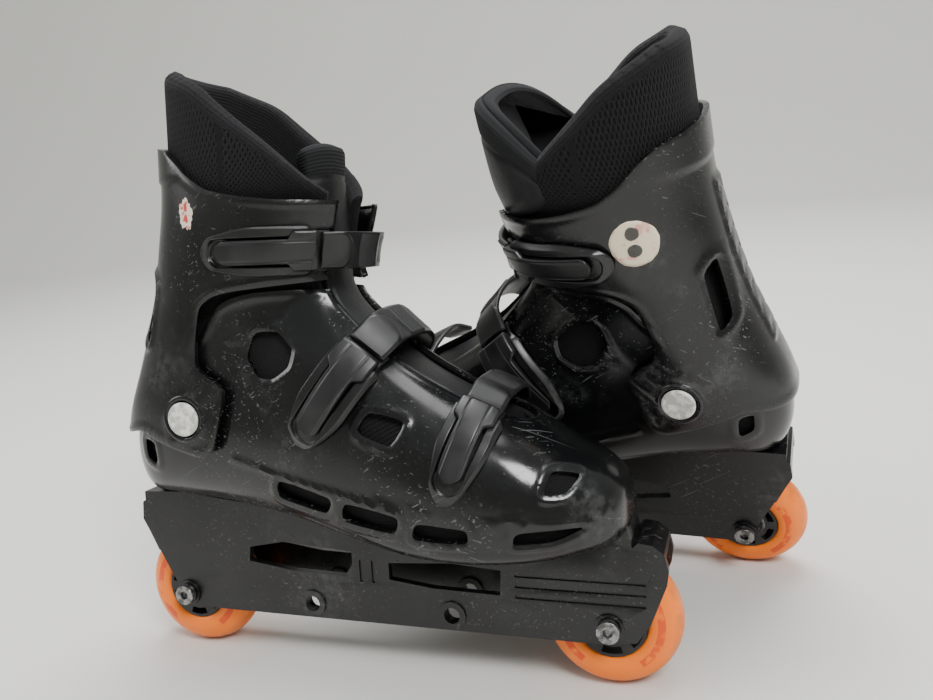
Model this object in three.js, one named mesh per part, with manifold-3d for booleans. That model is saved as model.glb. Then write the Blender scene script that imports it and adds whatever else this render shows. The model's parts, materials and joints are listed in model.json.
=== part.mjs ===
// A pair of hard-shell inline hockey skates, each with two of its four wheels fitted.
// Units are millimetres and +Z is up. Every skate is drawn upright in its own frame: x runs
// forward from the rear axle, y runs outward (away from the other foot) and z runs up from
// the floor. The left skate is drawn as it is and the right one is its mirror image. Both are
// then leaned and turned to where they stand, side by side and heel to toe.

import * as THREE from 'three';
import { mergeVertices } from 'three/addons/utils/BufferGeometryUtils.js';
import Module from 'manifold-3d';

const wasm = await Module();
wasm.setup();

// ---------------------------------------------------------------- driving sizes

const GAP = 0.35; // between pieces that touch
const BOOT_LENGTH = 280;
const BOOT_WIDTH = 102;
const BOOT_HEIGHT = 261; // from the wheel tops to the collar's rim

const WHEEL_RADIUS = 34.5;
const TYRE_WIDTH = 24;
const HUB_RADIUS = 18;
const WHEEL_SIDE_CLEARANCE = 1.5;
const WHEEL_TOP_CLEARANCE = 1.8;
const BEARING_RADIUS = 11;
const BEARING_WIDTH = 7;
const AXLE_RADIUS = 4;
const AXLE_HEAD_RADIUS = 5.7;
const AXLE_HEAD_DEPTH = 4;
const HEX_KEY_RADIUS = 2.6;

const AXLE_SPACING = 80;
const AXLE_COUNT = 4;
const FITTED_AXLES = { rear: 0, front: 3 };
const PLATE = 4.4; // thickness of the frame's side plates
const BOSS_RADIUS = 7.5;
const BOSS_PROUD = 1.2;

const SHELL_WALL = 3.5;
const VENT_DEEP = 17; // how near the middle plane the vents are cut
const FLOOR_GAP = 4.5; // under the liner, where the bolt heads lie
const SLOT_HALF = 20; // half the width of the opening over the instep
const CUFF_GAP = 2.2; // between the shell and the cuff that swings over it
const CUFF_WALL = 3.2;
const CUFF_FRONT_HALF = 23;
const LINER_WALL = 5;
const COLLAR_PADDING = 11;
const TONGUE_HALF = 19.2;
const TONGUE_THICK = 7;
const FOOTBED_THICK = 4;
const PIVOT_RADIUS = 5;
const PIVOT_CAP_RADIUS = 9;
const PIVOT_RING_RADIUS = 12.5;
const PIVOT_RING_DEPTH = 6;
const PIVOT_RING_PROUD = 1.5;
const PIVOT_CAP_THICK = 1.8;
const FRAME_BOLT_RADIUS = 3;
const FRAME_BOLT_HEAD = 7;
const FRAME_BOLT_HEAD_THICK = 1.8;
const FRAME_BOLT_REACH = 5; // below the sole, into the frame
const BEYOND = 90; // farther from the middle plane than any piece reaches

// The boot's outlines are drawn for these sizes and stretched to the ones above.
const PATTERN = { heel: -28, length: 280, width: 102, deck: 69, height: 261 };

// Where each skate stands: its rear axle on the floor plan, its heading and its lean, which is
// positive with the top outward. tongue says how far its top is pulled forward, on which section
// of the boot it ends, and half its width there.
const SKATES = [
  {
    side: 'right', x: 0, y: 0, heading: 0, lean: -7.69,
    tongue: { pull: -9, top: 17.15, flare: 21 },
  },
  {
    side: 'left', x: 306.1, y: 122.4, heading: 174.05, lean: 14.99,
    tongue: { pull: 9, top: 17.5, flare: 31 },
  },
];

// ---------------------------------------------------------------- derived sizes

const AXLE_Z = WHEEL_RADIUS;
const DECK = 2 * WHEEL_RADIUS;
const LAST_AXLE_X = (AXLE_COUNT - 1) * AXLE_SPACING;
const CHANNEL_HALF = TYRE_WIDTH / 2 + WHEEL_SIDE_CLEARANCE;
const FRAME_HALF = CHANNEL_HALF + PLATE;
const BEARING_FACE = TYRE_WIDTH / 2 - 0.5;
const CUFF_OUT = CUFF_GAP + CUFF_WALL;
const LINER_OUT = -(SHELL_WALL + GAP);
const TURN = Math.PI / 180;

// An outline point of the boot, stretched to the boot's sizes.
const fit = ([x, z]) => [
  PATTERN.heel + ((x - PATTERN.heel) * BOOT_LENGTH) / PATTERN.length,
  DECK + ((z - PATTERN.deck) * BOOT_HEIGHT) / PATTERN.height,
];

// ---------------------------------------------------------------- finishes

const finish = (color, roughness, metalness = 0) => ({ color, roughness, metalness });
const FINISHES = {
  shell: finish(0x0d0e10, 0.25),
  frame: finish(0x17181a, 0.5),
  buckle: finish(0x1c1d1f, 0.55),
  fabric: finish(0x101113, 0.95),
  footbed: finish(0x3a3b3d, 0.9),
  tyre: finish(0xf26a12, 0.45),
  hub: finish(0x141416, 0.4),
  steel: finish(0x9a9a98, 0.35, 0.9),
};

// ---------------------------------------------------------------- solids

const vec = (x, y, z) => new THREE.Vector3(x, y, z);
const mix = (a, b, share) => a + (b - a) * share;
const smooth = (value, low, high) => THREE.MathUtils.smoothstep(value, low, high);

// Turns an indexed geometry's faces outward if they point in.
function facingOut(geometry) {
  const positions = geometry.attributes.position;
  const index = geometry.index;
  const corner = [vec(), vec(), vec()];
  let volume = 0;
  for (let i = 0; i < index.count; i += 3) {
    corner.forEach((point, k) => point.fromBufferAttribute(positions, index.getX(i + k)));
    volume += corner[0].dot(corner[1].clone().cross(corner[2]));
  }
  if (volume < 0) index.array.reverse();
  return geometry;
}

function solidOf(geometry) {
  const bare = geometry.clone();
  for (const name of Object.keys(bare.attributes)) {
    if (name !== 'position') bare.deleteAttribute(name);
  }
  const merged = facingOut(mergeVertices(bare, 1e-4));
  const vertProperties = new Float32Array(merged.attributes.position.array);
  const triVerts = new Uint32Array(merged.index.array);
  return new wasm.Manifold(new wasm.Mesh({ numProp: 3, vertProperties, triVerts }));
}

function geometryOf(solid) {
  const mesh = solid.getMesh();
  const geometry = new THREE.BufferGeometry();
  geometry.setAttribute('position', new THREE.BufferAttribute(mesh.vertProperties, 3));
  geometry.setIndex(new THREE.BufferAttribute(mesh.triVerts, 1));
  return geometry;
}

// A closed skin through rings of equally many points, with a flat cap at each end.
function loft(rings) {
  const around = rings[0].length;
  const points = rings.flat();
  const faces = [];
  for (let i = 0; i + 1 < rings.length; i += 1) {
    for (let j = 0; j < around; j += 1) {
      const a = i * around + j;
      const b = i * around + ((j + 1) % around);
      faces.push(a, b, b + around, a, b + around, a + around);
    }
  }
  const ends = [[rings[0], 0, true], [rings.at(-1), points.length - around, false]];
  for (const [ring, start, reversed] of ends) {
    const middle = ring.reduce((sum, point) => sum.add(point), vec(0, 0, 0)).divideScalar(around);
    points.push(middle);
    for (let j = 0; j < around; j += 1) {
      const [a, b] = [start + j, start + ((j + 1) % around)];
      faces.push(points.length - 1, reversed ? b : a, reversed ? a : b);
    }
  }
  const geometry = new THREE.BufferGeometry().setFromPoints(points);
  geometry.setIndex(faces);
  return solidOf(geometry);
}

// An outline in x and z, extruded across the skate.
function prism(outline, low, high) {
  const shape = new THREE.Shape(outline.map(([x, z]) => new THREE.Vector2(x, z)));
  const geometry = new THREE.ExtrudeGeometry(shape, { depth: high - low, bevelEnabled: false });
  geometry.rotateX(Math.PI / 2).translate(0, high, 0);
  return solidOf(geometry);
}

function rod(radius, low, high, x, z, sides = 16) {
  const geometry = new THREE.CylinderGeometry(radius, radius, high - low, sides);
  return solidOf(geometry.translate(x, (low + high) / 2, z));
}

function post(radius, low, high, x, sides = 10) {
  const geometry = new THREE.CylinderGeometry(radius, radius, high - low, sides);
  return solidOf(geometry.rotateX(Math.PI / 2).translate(x, 0, (low + high) / 2));
}

// A ring or disc about the y axis, from a profile of radius and y.
function turned(profile, sides) {
  const closed = [...profile, profile[0]].map(([radius, y]) => new THREE.Vector2(radius, y));
  return solidOf(new THREE.LatheGeometry(closed, sides));
}

const join = (solids) => solids.reduce((sum, solid) => sum.add(solid));
const cutAll = (solid, cutters) => cutters.reduce((rest, cutter) => rest.subtract(cutter), solid);
const bothSides = (outline, low, high) => [prism(outline, low, high), prism(outline, -high, -low)];

// ---------------------------------------------------------------- boot form

// Sections of the boot from the toe, round the heel and up the leg. Each runs from the sole or
// the back (bx, bz) to the toe top, the instep or the shin (tx, tz). half is half its width,
// square says how boxy its lower or rear half is, and widest where it is widest, from below.
const SECTIONS = [
  { bx: 252, bz: 91, tx: 252, tz: 98, half: 6, square: 2.2, widest: 0.5 },
  { bx: 249.5, bz: 81, tx: 248.5, tz: 107, half: 22, square: 2.6, widest: 0.45 },
  { bx: 242, bz: 76, tx: 239, tz: 116, half: 32, square: 3, widest: 0.42 },
  { bx: 225, bz: 72.5, tx: 223, tz: 124.5, half: 42, square: 3.4, widest: 0.38 },
  { bx: 202, bz: 69, tx: 199, tz: 139, half: 49, square: 3.6, widest: 0.36 },
  { bx: 172, bz: 67, tx: 170, tz: 153, half: 51, square: 3.6, widest: 0.36 },
  { bx: 142, bz: 68, tx: 144, tz: 169, half: 49, square: 3.4, widest: 0.38 },
  { bx: 110, bz: 74, tx: 125, tz: 187, half: 45.5, square: 3.2, widest: 0.4 },
  { bx: 75, bz: 82, tx: 113, tz: 201, half: 42.5, square: 3, widest: 0.43 },
  { bx: 35, bz: 88, tx: 109.5, tz: 209, half: 40, square: 2.8, widest: 0.46 },
  { bx: 2, bz: 91, tx: 109, tz: 214, half: 38.5, square: 2.8, widest: 0.48 },
  { bx: -19, bz: 94, tx: 109.5, tz: 218, half: 37.5, square: 2.7, widest: 0.48 },
  { bx: -27.5, bz: 111, tx: 110, tz: 222, half: 37.5, square: 2.6, widest: 0.5 },
  { bx: -25, bz: 137, tx: 111, tz: 227, half: 38, square: 2.5, widest: 0.5 },
  { bx: -13.5, bz: 166, tx: 112.5, tz: 232, half: 39, square: 2.4, widest: 0.5 },
  { bx: -1, bz: 196, tx: 114, tz: 239, half: 40.5, square: 2.4, widest: 0.5 },
  { bx: 8.5, bz: 230, tx: 116, tz: 251, half: 42, square: 2.4, widest: 0.5 },
  { bx: 14, bz: 264, tx: 118, tz: 272, half: 43, square: 2.3, widest: 0.5 },
  { bx: 18.5, bz: 336, tx: 121, tz: 336, half: 44, square: 2.3, widest: 0.5 },
];
const LAST = SECTIONS.length - 1;
const TOP_SQUARE = 2.4;
const TOE_SECTIONS = 3; // over which the form also grows forward
const place = (index) => index / LAST; // where a section lies along the form, from 0 to 1

const curveOf = (pick) => new THREE.SplineCurve(SECTIONS.map(pick));
const lowCurve = curveOf(({ bx, bz }) => new THREE.Vector2(...fit([bx, bz])));
const highCurve = curveOf(({ tx, tz }) => new THREE.Vector2(...fit([tx, tz])));
const widthScale = BOOT_WIDTH / PATTERN.width;
const widthCurve = curveOf(({ half, widest }) => new THREE.Vector2(half * widthScale, widest));
const squareCurve = curveOf(({ square }) => new THREE.Vector2(square, 0));

// One section of the form, grown outward by grow at the sides and under at the sole and back.
function sectionAt(along, grow, under = grow) {
  const toeward = grow * (1 - smooth(along, 0, place(TOE_SECTIONS)));
  const low = lowCurve.getPoint(along).add({ x: toeward, y: 0 });
  const high = highCurve.getPoint(along).add({ x: toeward, y: 0 });
  const up = high.clone().sub(low).normalize();
  const width = widthCurve.getPoint(along);
  const reach = Math.max(low.distanceTo(high) + grow + under, 1);
  const belly = THREE.MathUtils.clamp(width.y * low.distanceTo(high) + under, reach * 0.2, reach * 0.8);
  low.addScaledVector(up, -under);
  const half = Math.max(width.x + grow, 1);
  return { low, up, reach, half, belly, square: squareCurve.getPoint(along).x };
}

// The share of its half width that a section has at a height above its low end.
function fullness({ reach, belly, square }, height) {
  const lower = height < belly;
  const away = lower ? (belly - height) / belly : (height - belly) / (reach - belly);
  const power = lower ? square : TOP_SQUARE;
  return (1 - Math.min(away, 1) ** power) ** (1 / power);
}

function ringOf(section, around) {
  const { low, up, reach, half, belly, square } = section;
  return Array.from({ length: around }, (_, j) => {
    const angle = ((j + 0.5) * 2 * Math.PI) / around;
    const [across, rise] = [Math.cos(angle), Math.sin(angle)];
    const power = 2 / (rise < 0 ? square : TOP_SQUARE);
    const height = belly + Math.sign(rise) * Math.abs(rise) ** power * (rise < 0 ? belly : reach - belly);
    const y = half * Math.sign(across) * Math.abs(across) ** power;
    return vec(low.x + up.x * height, y, low.y + up.y * height);
  });
}

// The filled form between two of its steps. grow and under are numbers or functions of place. All
// solids of the form share its steps, so that nested ones stay parallel.
const FORM_STEPS = 18;
const FORM_AROUND = 16;

function form(grow, under = grow, from = 0, to = FORM_STEPS) {
  const value = (size, along) => (typeof size === 'function' ? size(along) : size);
  const rings = Array.from({ length: to - from + 1 }, (_, i) => {
    const along = (from + i) / FORM_STEPS;
    return ringOf(sectionAt(along, value(grow, along), value(under, along)), FORM_AROUND);
  });
  return loft(rings);
}

// Half the form's width at a point of the side view, or -1 outside its outline.
function halfWidthAt(x, z, grow) {
  const looks = 90;
  let before = null;
  for (let i = 0; i <= looks; i += 1) {
    const section = sectionAt(i / looks, grow);
    const dx = x - section.low.x;
    const dz = z - section.low.y;
    const side = dx * section.up.y - dz * section.up.x;
    const height = dx * section.up.x + dz * section.up.y;
    if (before && Math.sign(side) !== Math.sign(before.side)) {
      const share = before.side / (before.side - side);
      const level = mix(before.height, height, share);
      const between = sectionAt((i - 1 + share) / looks, grow);
      if (level > 0 && level < between.reach) return between.half * fullness(between, level);
    }
    before = { side, height };
  }
  return -1;
}

// The outline band that follows the top and front of the form.
function frontBand(from, to, inner, outer, steps = 12) {
  const edge = (grow, reversed) => Array.from({ length: steps + 1 }, (_, i) => {
    const along = mix(from, to, (reversed ? steps - i : i) / steps);
    const { low, up, reach } = sectionAt(along, 0);
    return [low.x + up.x * (reach + grow), low.y + up.y * (reach + grow)];
  });
  return [...edge(outer, false), ...edge(inner, true)];
}

// ---------------------------------------------------------------- belts round the boot

// A belt runs round the form in a plane that holds the across direction and rise, a direction
// of the side view. Its angle is 0 at the outer side, 90 on the instep and 180 at the inner side.
const BELTS = {
  cuff: {
    centre: [62, 225], rise: [1, -0.03], grow: CUFF_OUT, width: 16,
    tip: -14, hinge: 52, strapEnd: 131, anchor: 137, body: 'cuff', noseWidth: 13,
  },
  instep: {
    centre: [100, 137], rise: [0.61, 0.79], grow: 0, width: 20,
    tip: -8, hinge: 52, strapEnd: 146, anchor: 152, body: 'boot', noseWidth: 12,
  },
  toe: {
    centre: [172, 108], rise: [0.35, 0.94], grow: 0, width: 18,
    tip: -4, hinge: 50, strapEnd: 140, anchor: 146, body: 'boot', noseWidth: 12,
  },
};
const BASE_THICK = 2.4;
const BASE_LIFT = 2 * GAP; // clear of the boot, whose surface curves between a strip's edges
const STRAP_LIFT = BASE_LIFT + BASE_THICK + GAP;
const LEVER_LIFT = STRAP_LIFT + 2 * GAP;
const LEVER_THICK = 5.5;
const STRAP_THICK = 2.4;
const STRAP_ARCH = 3.5; // that the instep and toe straps stand off the slot

// The direction across a belt's width.
function beltWidthways(belt) {
  const size = Math.hypot(...belt.rise);
  return vec(-belt.rise[1] / size, 0, belt.rise[0] / size);
}

// A point of the form on a belt, or aside of its middle line.
function beltPoint(belt, degrees, aside = 0) {
  const sideways = beltWidthways(belt);
  const [cx, cz] = fit(belt.centre);
  const [x, z] = [cx + sideways.x * aside, cz + sideways.z * aside];
  const [across, rise] = [Math.cos(degrees * TURN), Math.sin(degrees * TURN)];
  let [near, far] = [5, 130];
  for (let i = 0; i < 24; i += 1) {
    const reach = (near + far) / 2;
    const half = halfWidthAt(x + sideways.z * rise * reach, z - sideways.x * rise * reach, belt.grow);
    if (Math.abs(across * reach) < half) near = reach;
    else far = reach;
  }
  return vec(x + sideways.z * rise * near, across * near, z - sideways.x * rise * near);
}

// The direction out of the form at a belt's angle.
function beltOutward(belt, degrees) {
  const ahead = beltPoint(belt, degrees + 2).sub(beltPoint(belt, degrees - 2)).normalize();
  return beltWidthways(belt).cross(ahead).normalize();
}

// A strip that lies on the form along a belt. lift, thick and width may change with the angle.
function strip(belt, from, to, lift, thick, width, steps = 8) {
  const value = (size, degrees) => (typeof size === 'function' ? size(degrees) : size);
  const rings = Array.from({ length: steps + 1 }, (_, i) => {
    const degrees = mix(from, to, i / steps);
    const [half, low, deep] = [value(width, degrees) / 2, value(lift, degrees), value(thick, degrees)];
    const out = beltOutward(belt, degrees);
    const corner = (side, narrow, height) => beltPoint(belt, degrees, side)
      .addScaledVector(beltWidthways(belt), -Math.sign(side) * narrow)
      .addScaledVector(out, height);
    const bevel = half * 0.12;
    return [
      corner(-half, 0, low), corner(half, 0, low), corner(half, bevel, low + deep), corner(-half, bevel, low + deep),
    ];
  });
  return loft(rings);
}

// ---------------------------------------------------------------- frame

const SOLE_LINE = [[-34, 93], [1, 94], [60, 87], [100, 79], [140, 71], [180, 70], [215, 75], [250, 86]];
const CEILING = [[-60, 80], [12, 80], [60, 74], [100, 66], [128, 59], [190, 59], [225, 64], [248, 70], [330, 71]];
const WINDOWS = [
  [[43, 64], [42, 56], [70, 52], [100, 51], [105, 58], [105, 65], [64, 68]],
  [[126, 60], [126, 51], [150, 48], [186, 47], [187, 60], [160, 62]],
];
const FRONT_GROOVES = [46, 51.5, 57];
const MIDDLE_GROOVES = [109, 116];
const GROOVE = { depth: 1, width: 1.7 };

function frameSolid() {
  const last = LAST_AXLE_X;
  const sides = [
    [-10, AXLE_Z + 10], [-2, AXLE_Z - 5], [4, AXLE_Z - 8], [last - 4, AXLE_Z - 8.5], [last + 13, AXLE_Z - 6.5],
    [last + 20, AXLE_Z + 3.5], [last + 28, AXLE_Z + 23.5], [last + 29, DECK - 4], [last + 27, DECK + 4],
    [last + 22, DECK + 8], [last + 15, DECK + 9], [last + 10, DECK + 4], [last - 20, DECK - 8],
    [0, DECK - 8], [-10, DECK + 23], [-16, DECK + 24], [-26, DECK + 18], [-27, DECK + 8],
  ];
  const cradleTop = SOLE_LINE.map(fit);
  const cradle = prism([...cradleTop, [last + 16, AXLE_Z + 24], [-18, AXLE_Z + 24]], -FRAME_HALF, FRAME_HALF);
  const span = prism([[-24, 0], [last + 26, 0], [last + 26, DECK + 60], [-24, DECK + 60]], -FRAME_HALF, FRAME_HALF);
  const blank = prism(sides, -FRAME_HALF, FRAME_HALF).add(cradle.intersect(span));
  const ceiling = CEILING.map(fit).map(([x, z]) => [x, Math.min(z, DECK + 15)]);
  const channel = prism([[ceiling[0][0], -10], ...ceiling, [ceiling.at(-1)[0], -10]], -CHANNEL_HALF, CHANNEL_HALF);
  const axles = Array.from({ length: AXLE_COUNT }, (_, k) => k * AXLE_SPACING);
  const wellRadius = WHEEL_RADIUS + WHEEL_TOP_CLEARANCE;
  const wells = axles.map((x) => rod(wellRadius, -CHANNEL_HALF, CHANNEL_HALF, x, AXLE_Z, 20));
  const bosses = axles.flatMap((x) => [
    rod(BOSS_RADIUS, BEARING_FACE + GAP, FRAME_HALF + BOSS_PROUD, x, AXLE_Z, 12),
    rod(BOSS_RADIUS, -FRAME_HALF - BOSS_PROUD, -BEARING_FACE - GAP, x, AXLE_Z, 12),
  ]);
  const holes = axles.map((x) => rod(AXLE_RADIUS + GAP, -40, 40, x, AXLE_Z, 12));
  const windows = WINDOWS.map((outline) => prism(outline.map(fit), -40, 40));
  const outside = [FRAME_HALF - GROOVE.depth, FRAME_HALF + 5];
  const groove = (x0, x1, z0, z1) => bothSides([[x0, z0], [x1, z0], [x1, z1], [x0, z1]], ...outside);
  const frontGrooves = FRONT_GROOVES.map((z) => AXLE_Z + z - PATTERN.deck / 2)
    .flatMap((z) => groove(last - 46, last + 18, z, z + GROOVE.width));
  const middleGrooves = MIDDLE_GROOVES.map((x) => fit([x, 0])[0])
    .flatMap((x) => groove(x, x + GROOVE.width, AXLE_Z + 14, AXLE_Z + 26));
  const hollow = cutAll(blank, [channel, ...wells]);
  const boot = form(GAP, GAP, 0, 13);
  const cutters = [boot, ...windows, ...frontGrooves, ...middleGrooves, ...holes, ...frameBoltHoles()];
  return cutAll(join([hollow, ...bosses]), cutters);
}

// ---------------------------------------------------------------- wheels

function tyreSolid() {
  const crown = TYRE_WIDTH / 2;
  const rim = HUB_RADIUS + GAP;
  const steps = 6;
  const arc = Array.from({ length: steps + 1 }, (_, i) => {
    const angle = mix(-90, 90, i / steps) * TURN;
    return [WHEEL_RADIUS - crown + crown * Math.cos(angle), crown * Math.sin(angle)];
  });
  return turned([[rim, -crown + 1], ...arc, [rim, crown - 1]], 24);
}

// Points on a circle or an arc of the side view, from one turn to another.
function arcPoints(radius, steps, start = 0, end = 1 - 1 / steps) {
  return Array.from({ length: steps }, (_, k) => {
    const angle = mix(start, end, k / (steps - 1)) * 2 * Math.PI;
    return new THREE.Vector2(radius * Math.cos(angle), radius * Math.sin(angle));
  });
}

function hubSolid() {
  const disc = new THREE.Shape(arcPoints(HUB_RADIUS, 20));
  const spokes = 6;
  const windows = Array.from({ length: spokes }, (_, k) => {
    const [start, end] = [(k + 0.18) / spokes, (k + 0.82) / spokes];
    return new THREE.Path([
      ...arcPoints(HUB_RADIUS - 1.6, 4, start, end), ...arcPoints(BEARING_RADIUS + 1.8, 3, end, start),
    ]);
  });
  disc.holes.push(new THREE.Path(arcPoints(BEARING_RADIUS + GAP, 16)), ...windows);
  const depth = TYRE_WIDTH - 2;
  const geometry = new THREE.ExtrudeGeometry(disc, { depth, bevelEnabled: false });
  return solidOf(geometry.rotateX(Math.PI / 2).translate(0, depth / 2, 0));
}

function bearingSolid() {
  const start = BEARING_FACE - BEARING_WIDTH;
  const [inner, outer] = [AXLE_RADIUS + GAP, BEARING_RADIUS];
  return turned([[inner, start], [outer, start], [outer, BEARING_FACE], [inner, BEARING_FACE]], 12);
}

function axleSolid() {
  const face = FRAME_HALF + BOSS_PROUD + GAP;
  const shank = rod(AXLE_RADIUS - 0.1, -face - 1, face + 1, 0, 0, 12);
  const head = rod(AXLE_HEAD_RADIUS, face, face + AXLE_HEAD_DEPTH, 0, 0, 14);
  const nut = rod(AXLE_HEAD_RADIUS + 1, -face - AXLE_HEAD_DEPTH, -face, 0, 0, 6);
  const socket = rod(HEX_KEY_RADIUS, face + 1.2, face + AXLE_HEAD_DEPTH + 1, 0, 0, 6);
  return join([shank, head, nut]).subtract(socket);
}

// ---------------------------------------------------------------- boot

const PIVOT = fit([27.4, 141.3]);
// The shell's side view up to its rim, which is low behind, where the cuff swings over it.
const SHELL_LINE = [
  [-90, 20], [300, 20], [300, 190], [130, 200], [98, 206], [54, 204], [40, 186], [24, 170], [-90, 160],
];
const VENTS = [
  [[69, 185], [82, 185], [91, 176], [89, 167], [80, 161], [71, 162], [64, 172]],
  [[133, 146], [152, 141], [145, 129], [126, 136]],
  [[219, 117], [232, 114], [226, 107], [216, 107]],
  [[-1, 126], [-9, 128], [-9, 117], [-1, 113]],
  [[78, 110], [111, 102], [106, 93], [76, 99]],
  [[117, 101], [148, 96], [145, 87], [114, 90]],
  [[156, 94], [182, 92], [182, 85], [153, 85]],
  [[204, 91], [236, 92], [221, 86], [202, 85]],
];
const CUFF_OUTLINE = [
  [-70, 128], [-24, 130], [-5, 134], [6, 129], [21, 124], [36, 120], [44, 124], [54, 157], [37, 167], [39, 182],
  [44, 199], [52, 204], [61, 206], [87, 208], [140, 211], [140, 247], [113, 248], [93, 249], [74, 252], [57, 256],
  [45, 264], [36, 273], [28, 279], [4, 285], [-70, 287],
];
const CUFF_SLOT = [[12, 212], [6, 218], [-1, 186], [5, 180]];
const COLLAR_LINE = [
  [-70, 323], [20, 323], [34, 316], [50, 309], [66, 295], [90, 276], [105, 260], [122, 246], [190, 212], [290, 180],
  [290, 20], [-70, 20],
];
const TONGUE_FROM = place(3.9);
const FRAME_BOLTS = { rear: fit([34, 0])[0], front: fit([204, 0])[0] };

// The height of the sole's underside on the centre line at x.
function soleAt(x) {
  let [near, far] = [0, place(11)];
  for (let i = 0; i < 30; i += 1) {
    const middle = (near + far) / 2;
    if (lowCurve.getPoint(middle).x > x) near = middle;
    else far = middle;
  }
  return lowCurve.getPoint(near).y;
}

const frameBoltHoles = () => Object.values(FRAME_BOLTS)
  .map((x) => post(FRAME_BOLT_RADIUS + GAP, AXLE_Z, DECK + 60, x));

const pivotHole = (radius) => rod(radius, -BEYOND, BEYOND, ...PIVOT, 16);

function shellSolid() {
  const outer = form(0).intersect(prism(SHELL_LINE.map(fit), -BEYOND, BEYOND));
  const inner = form(-SHELL_WALL);
  const opening = prism(frontBand(place(3.75), place(16), -SHELL_WALL - 9, 30), -SLOT_HALF, SLOT_HALF);
  const vents = VENTS.flatMap((outline) => bothSides(outline.map(fit), VENT_DEEP, BEYOND));
  return cutAll(outer, [inner, opening, ...vents, ...frameBoltHoles(), pivotHole(PIVOT_RADIUS + GAP)]);
}

function cuffSolid() {
  const blank = form(CUFF_OUT, CUFF_OUT, 6);
  const inner = form(CUFF_GAP, CUFF_GAP, 5);
  const face = halfWidthAt(...PIVOT, CUFF_OUT);
  const [ringIn, ringOut] = [face - PIVOT_RING_DEPTH, face + PIVOT_RING_PROUD];
  const rings = [
    rod(PIVOT_RING_RADIUS, ringIn, ringOut, ...PIVOT),
    rod(PIVOT_RING_RADIUS, -ringOut, -ringIn, ...PIVOT),
  ];
  const seats = [
    rod(PIVOT_CAP_RADIUS + GAP, face, BEYOND, ...PIVOT),
    rod(PIVOT_CAP_RADIUS + GAP, -BEYOND, -face, ...PIVOT),
  ];
  const outline = prism(CUFF_OUTLINE.map(fit), -BEYOND, BEYOND);
  const front = prism([[95, 150], [170, 150], [170, 300], [95, 300]].map(fit), -CUFF_FRONT_HALF, CUFF_FRONT_HALF);
  const slots = bothSides(CUFF_SLOT.map(fit), VENT_DEEP, BEYOND);
  const plain = join([blank, ...rings]).intersect(outline);
  return cutAll(plain, [inner, front, ...slots, ...seats, pivotHole(PIVOT_RADIUS + GAP)]);
}

// The rivet that carries the cuff on one side: a cap, a shank and a flange inside the shell.
function pivotSolid() {
  const face = halfWidthAt(...PIVOT, CUFF_OUT);
  const wall = halfWidthAt(...PIVOT, 0);
  const cap = rod(PIVOT_CAP_RADIUS, face + GAP, face + GAP + PIVOT_CAP_THICK, ...PIVOT);
  const shank = rod(PIVOT_RADIUS, wall - SHELL_WALL + 0.2, face + 1, ...PIVOT, 16);
  return cap.add(shank);
}

const collarShare = (along) => smooth(along, place(15.6), place(17));

function linerSolid() {
  const outside = (along) => mix(LINER_OUT, CUFF_GAP - GAP - 0.3, collarShare(along));
  const floor = (along) => mix(outside(along) - FLOOR_GAP, outside(along), smooth(along, place(9), place(12)));
  const inside = (along) => outside(along) - mix(LINER_WALL, COLLAR_PADDING, collarShare(along));
  const bed = (along) => floor(along) - mix(LINER_WALL, COLLAR_PADDING, collarShare(along));
  const outer = form(outside, floor, 1).intersect(prism(COLLAR_LINE.map(fit), -BEYOND, BEYOND));
  const opening = prism(frontBand(TONGUE_FROM, 1, -40, 40), -TONGUE_HALF - 0.7, TONGUE_HALF + 0.7);
  return cutAll(outer, [form(inside, bed, 1), opening]);
}

function tongueSolid({ pull, top, flare }) {
  const steps = 14;
  const rings = Array.from({ length: steps + 1 }, (_, i) => {
    const along = mix(TONGUE_FROM + place(0.2), place(top), i / steps);
    const free = smooth(along, place(12), place(top));
    const half = mix(TONGUE_HALF, flare, smooth(along, place(16.9), place(17.3)));
    const outer = sectionAt(along, LINER_OUT - 0.8 + free * pull);
    const thick = TONGUE_THICK + 6 * smooth(along, place(16), place(top));
    const columns = Array.from({ length: 5 }, (_c, k) => mix(-half, half, k / 4));
    const topAt = (y) => {
      const away = (1 - (Math.abs(y) / outer.half) ** TOP_SQUARE) ** (1 / TOP_SQUARE);
      return outer.belly + away * (outer.reach - outer.belly);
    };
    const at = (y, height) => vec(outer.low.x + outer.up.x * height, y, outer.low.y + outer.up.y * height);
    const face = columns.map((y) => at(y, topAt(y)));
    const back = columns.map((y) => at(y, topAt(y) - thick)).reverse();
    return [...face, ...back];
  });
  return loft(rings);
}

function footbedSolid() {
  const inset = LINER_OUT - LINER_WALL - GAP;
  const filled = form(inset, inset - FLOOR_GAP, 1, 13);
  const top = FLOOR_GAP + LINER_WALL + SHELL_WALL + 2 * GAP + FOOTBED_THICK;
  const xs = [-24, 10, 40, 75, 105, 140, 175, 205, 232].map((x) => fit([x, 0])[0]);
  const line = xs.map((x) => [x, soleAt(x) + top]);
  return filled.intersect(prism([...line, [line.at(-1)[0], DECK - 30], [line[0][0], DECK - 30]], -BEYOND, BEYOND));
}

function frameBoltSolid(x) {
  const sole = soleAt(x);
  const floor = sole + SHELL_WALL;
  const headTop = floor + 1.5 + FRAME_BOLT_HEAD_THICK;
  const shank = post(FRAME_BOLT_RADIUS, sole - FRAME_BOLT_REACH, headTop - 1.5, x);
  const head = post(FRAME_BOLT_HEAD, headTop - FRAME_BOLT_HEAD_THICK, headTop, x);
  return shank.add(head);
}

// ---------------------------------------------------------------- buckles

function baseSolid(belt) {
  const width = (degrees) => mix(belt.noseWidth, belt.width, smooth(degrees, belt.tip, belt.hinge)) - 2;
  return strip(belt, belt.tip + 6, belt.hinge + 9, BASE_LIFT, BASE_THICK, width);
}

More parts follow.
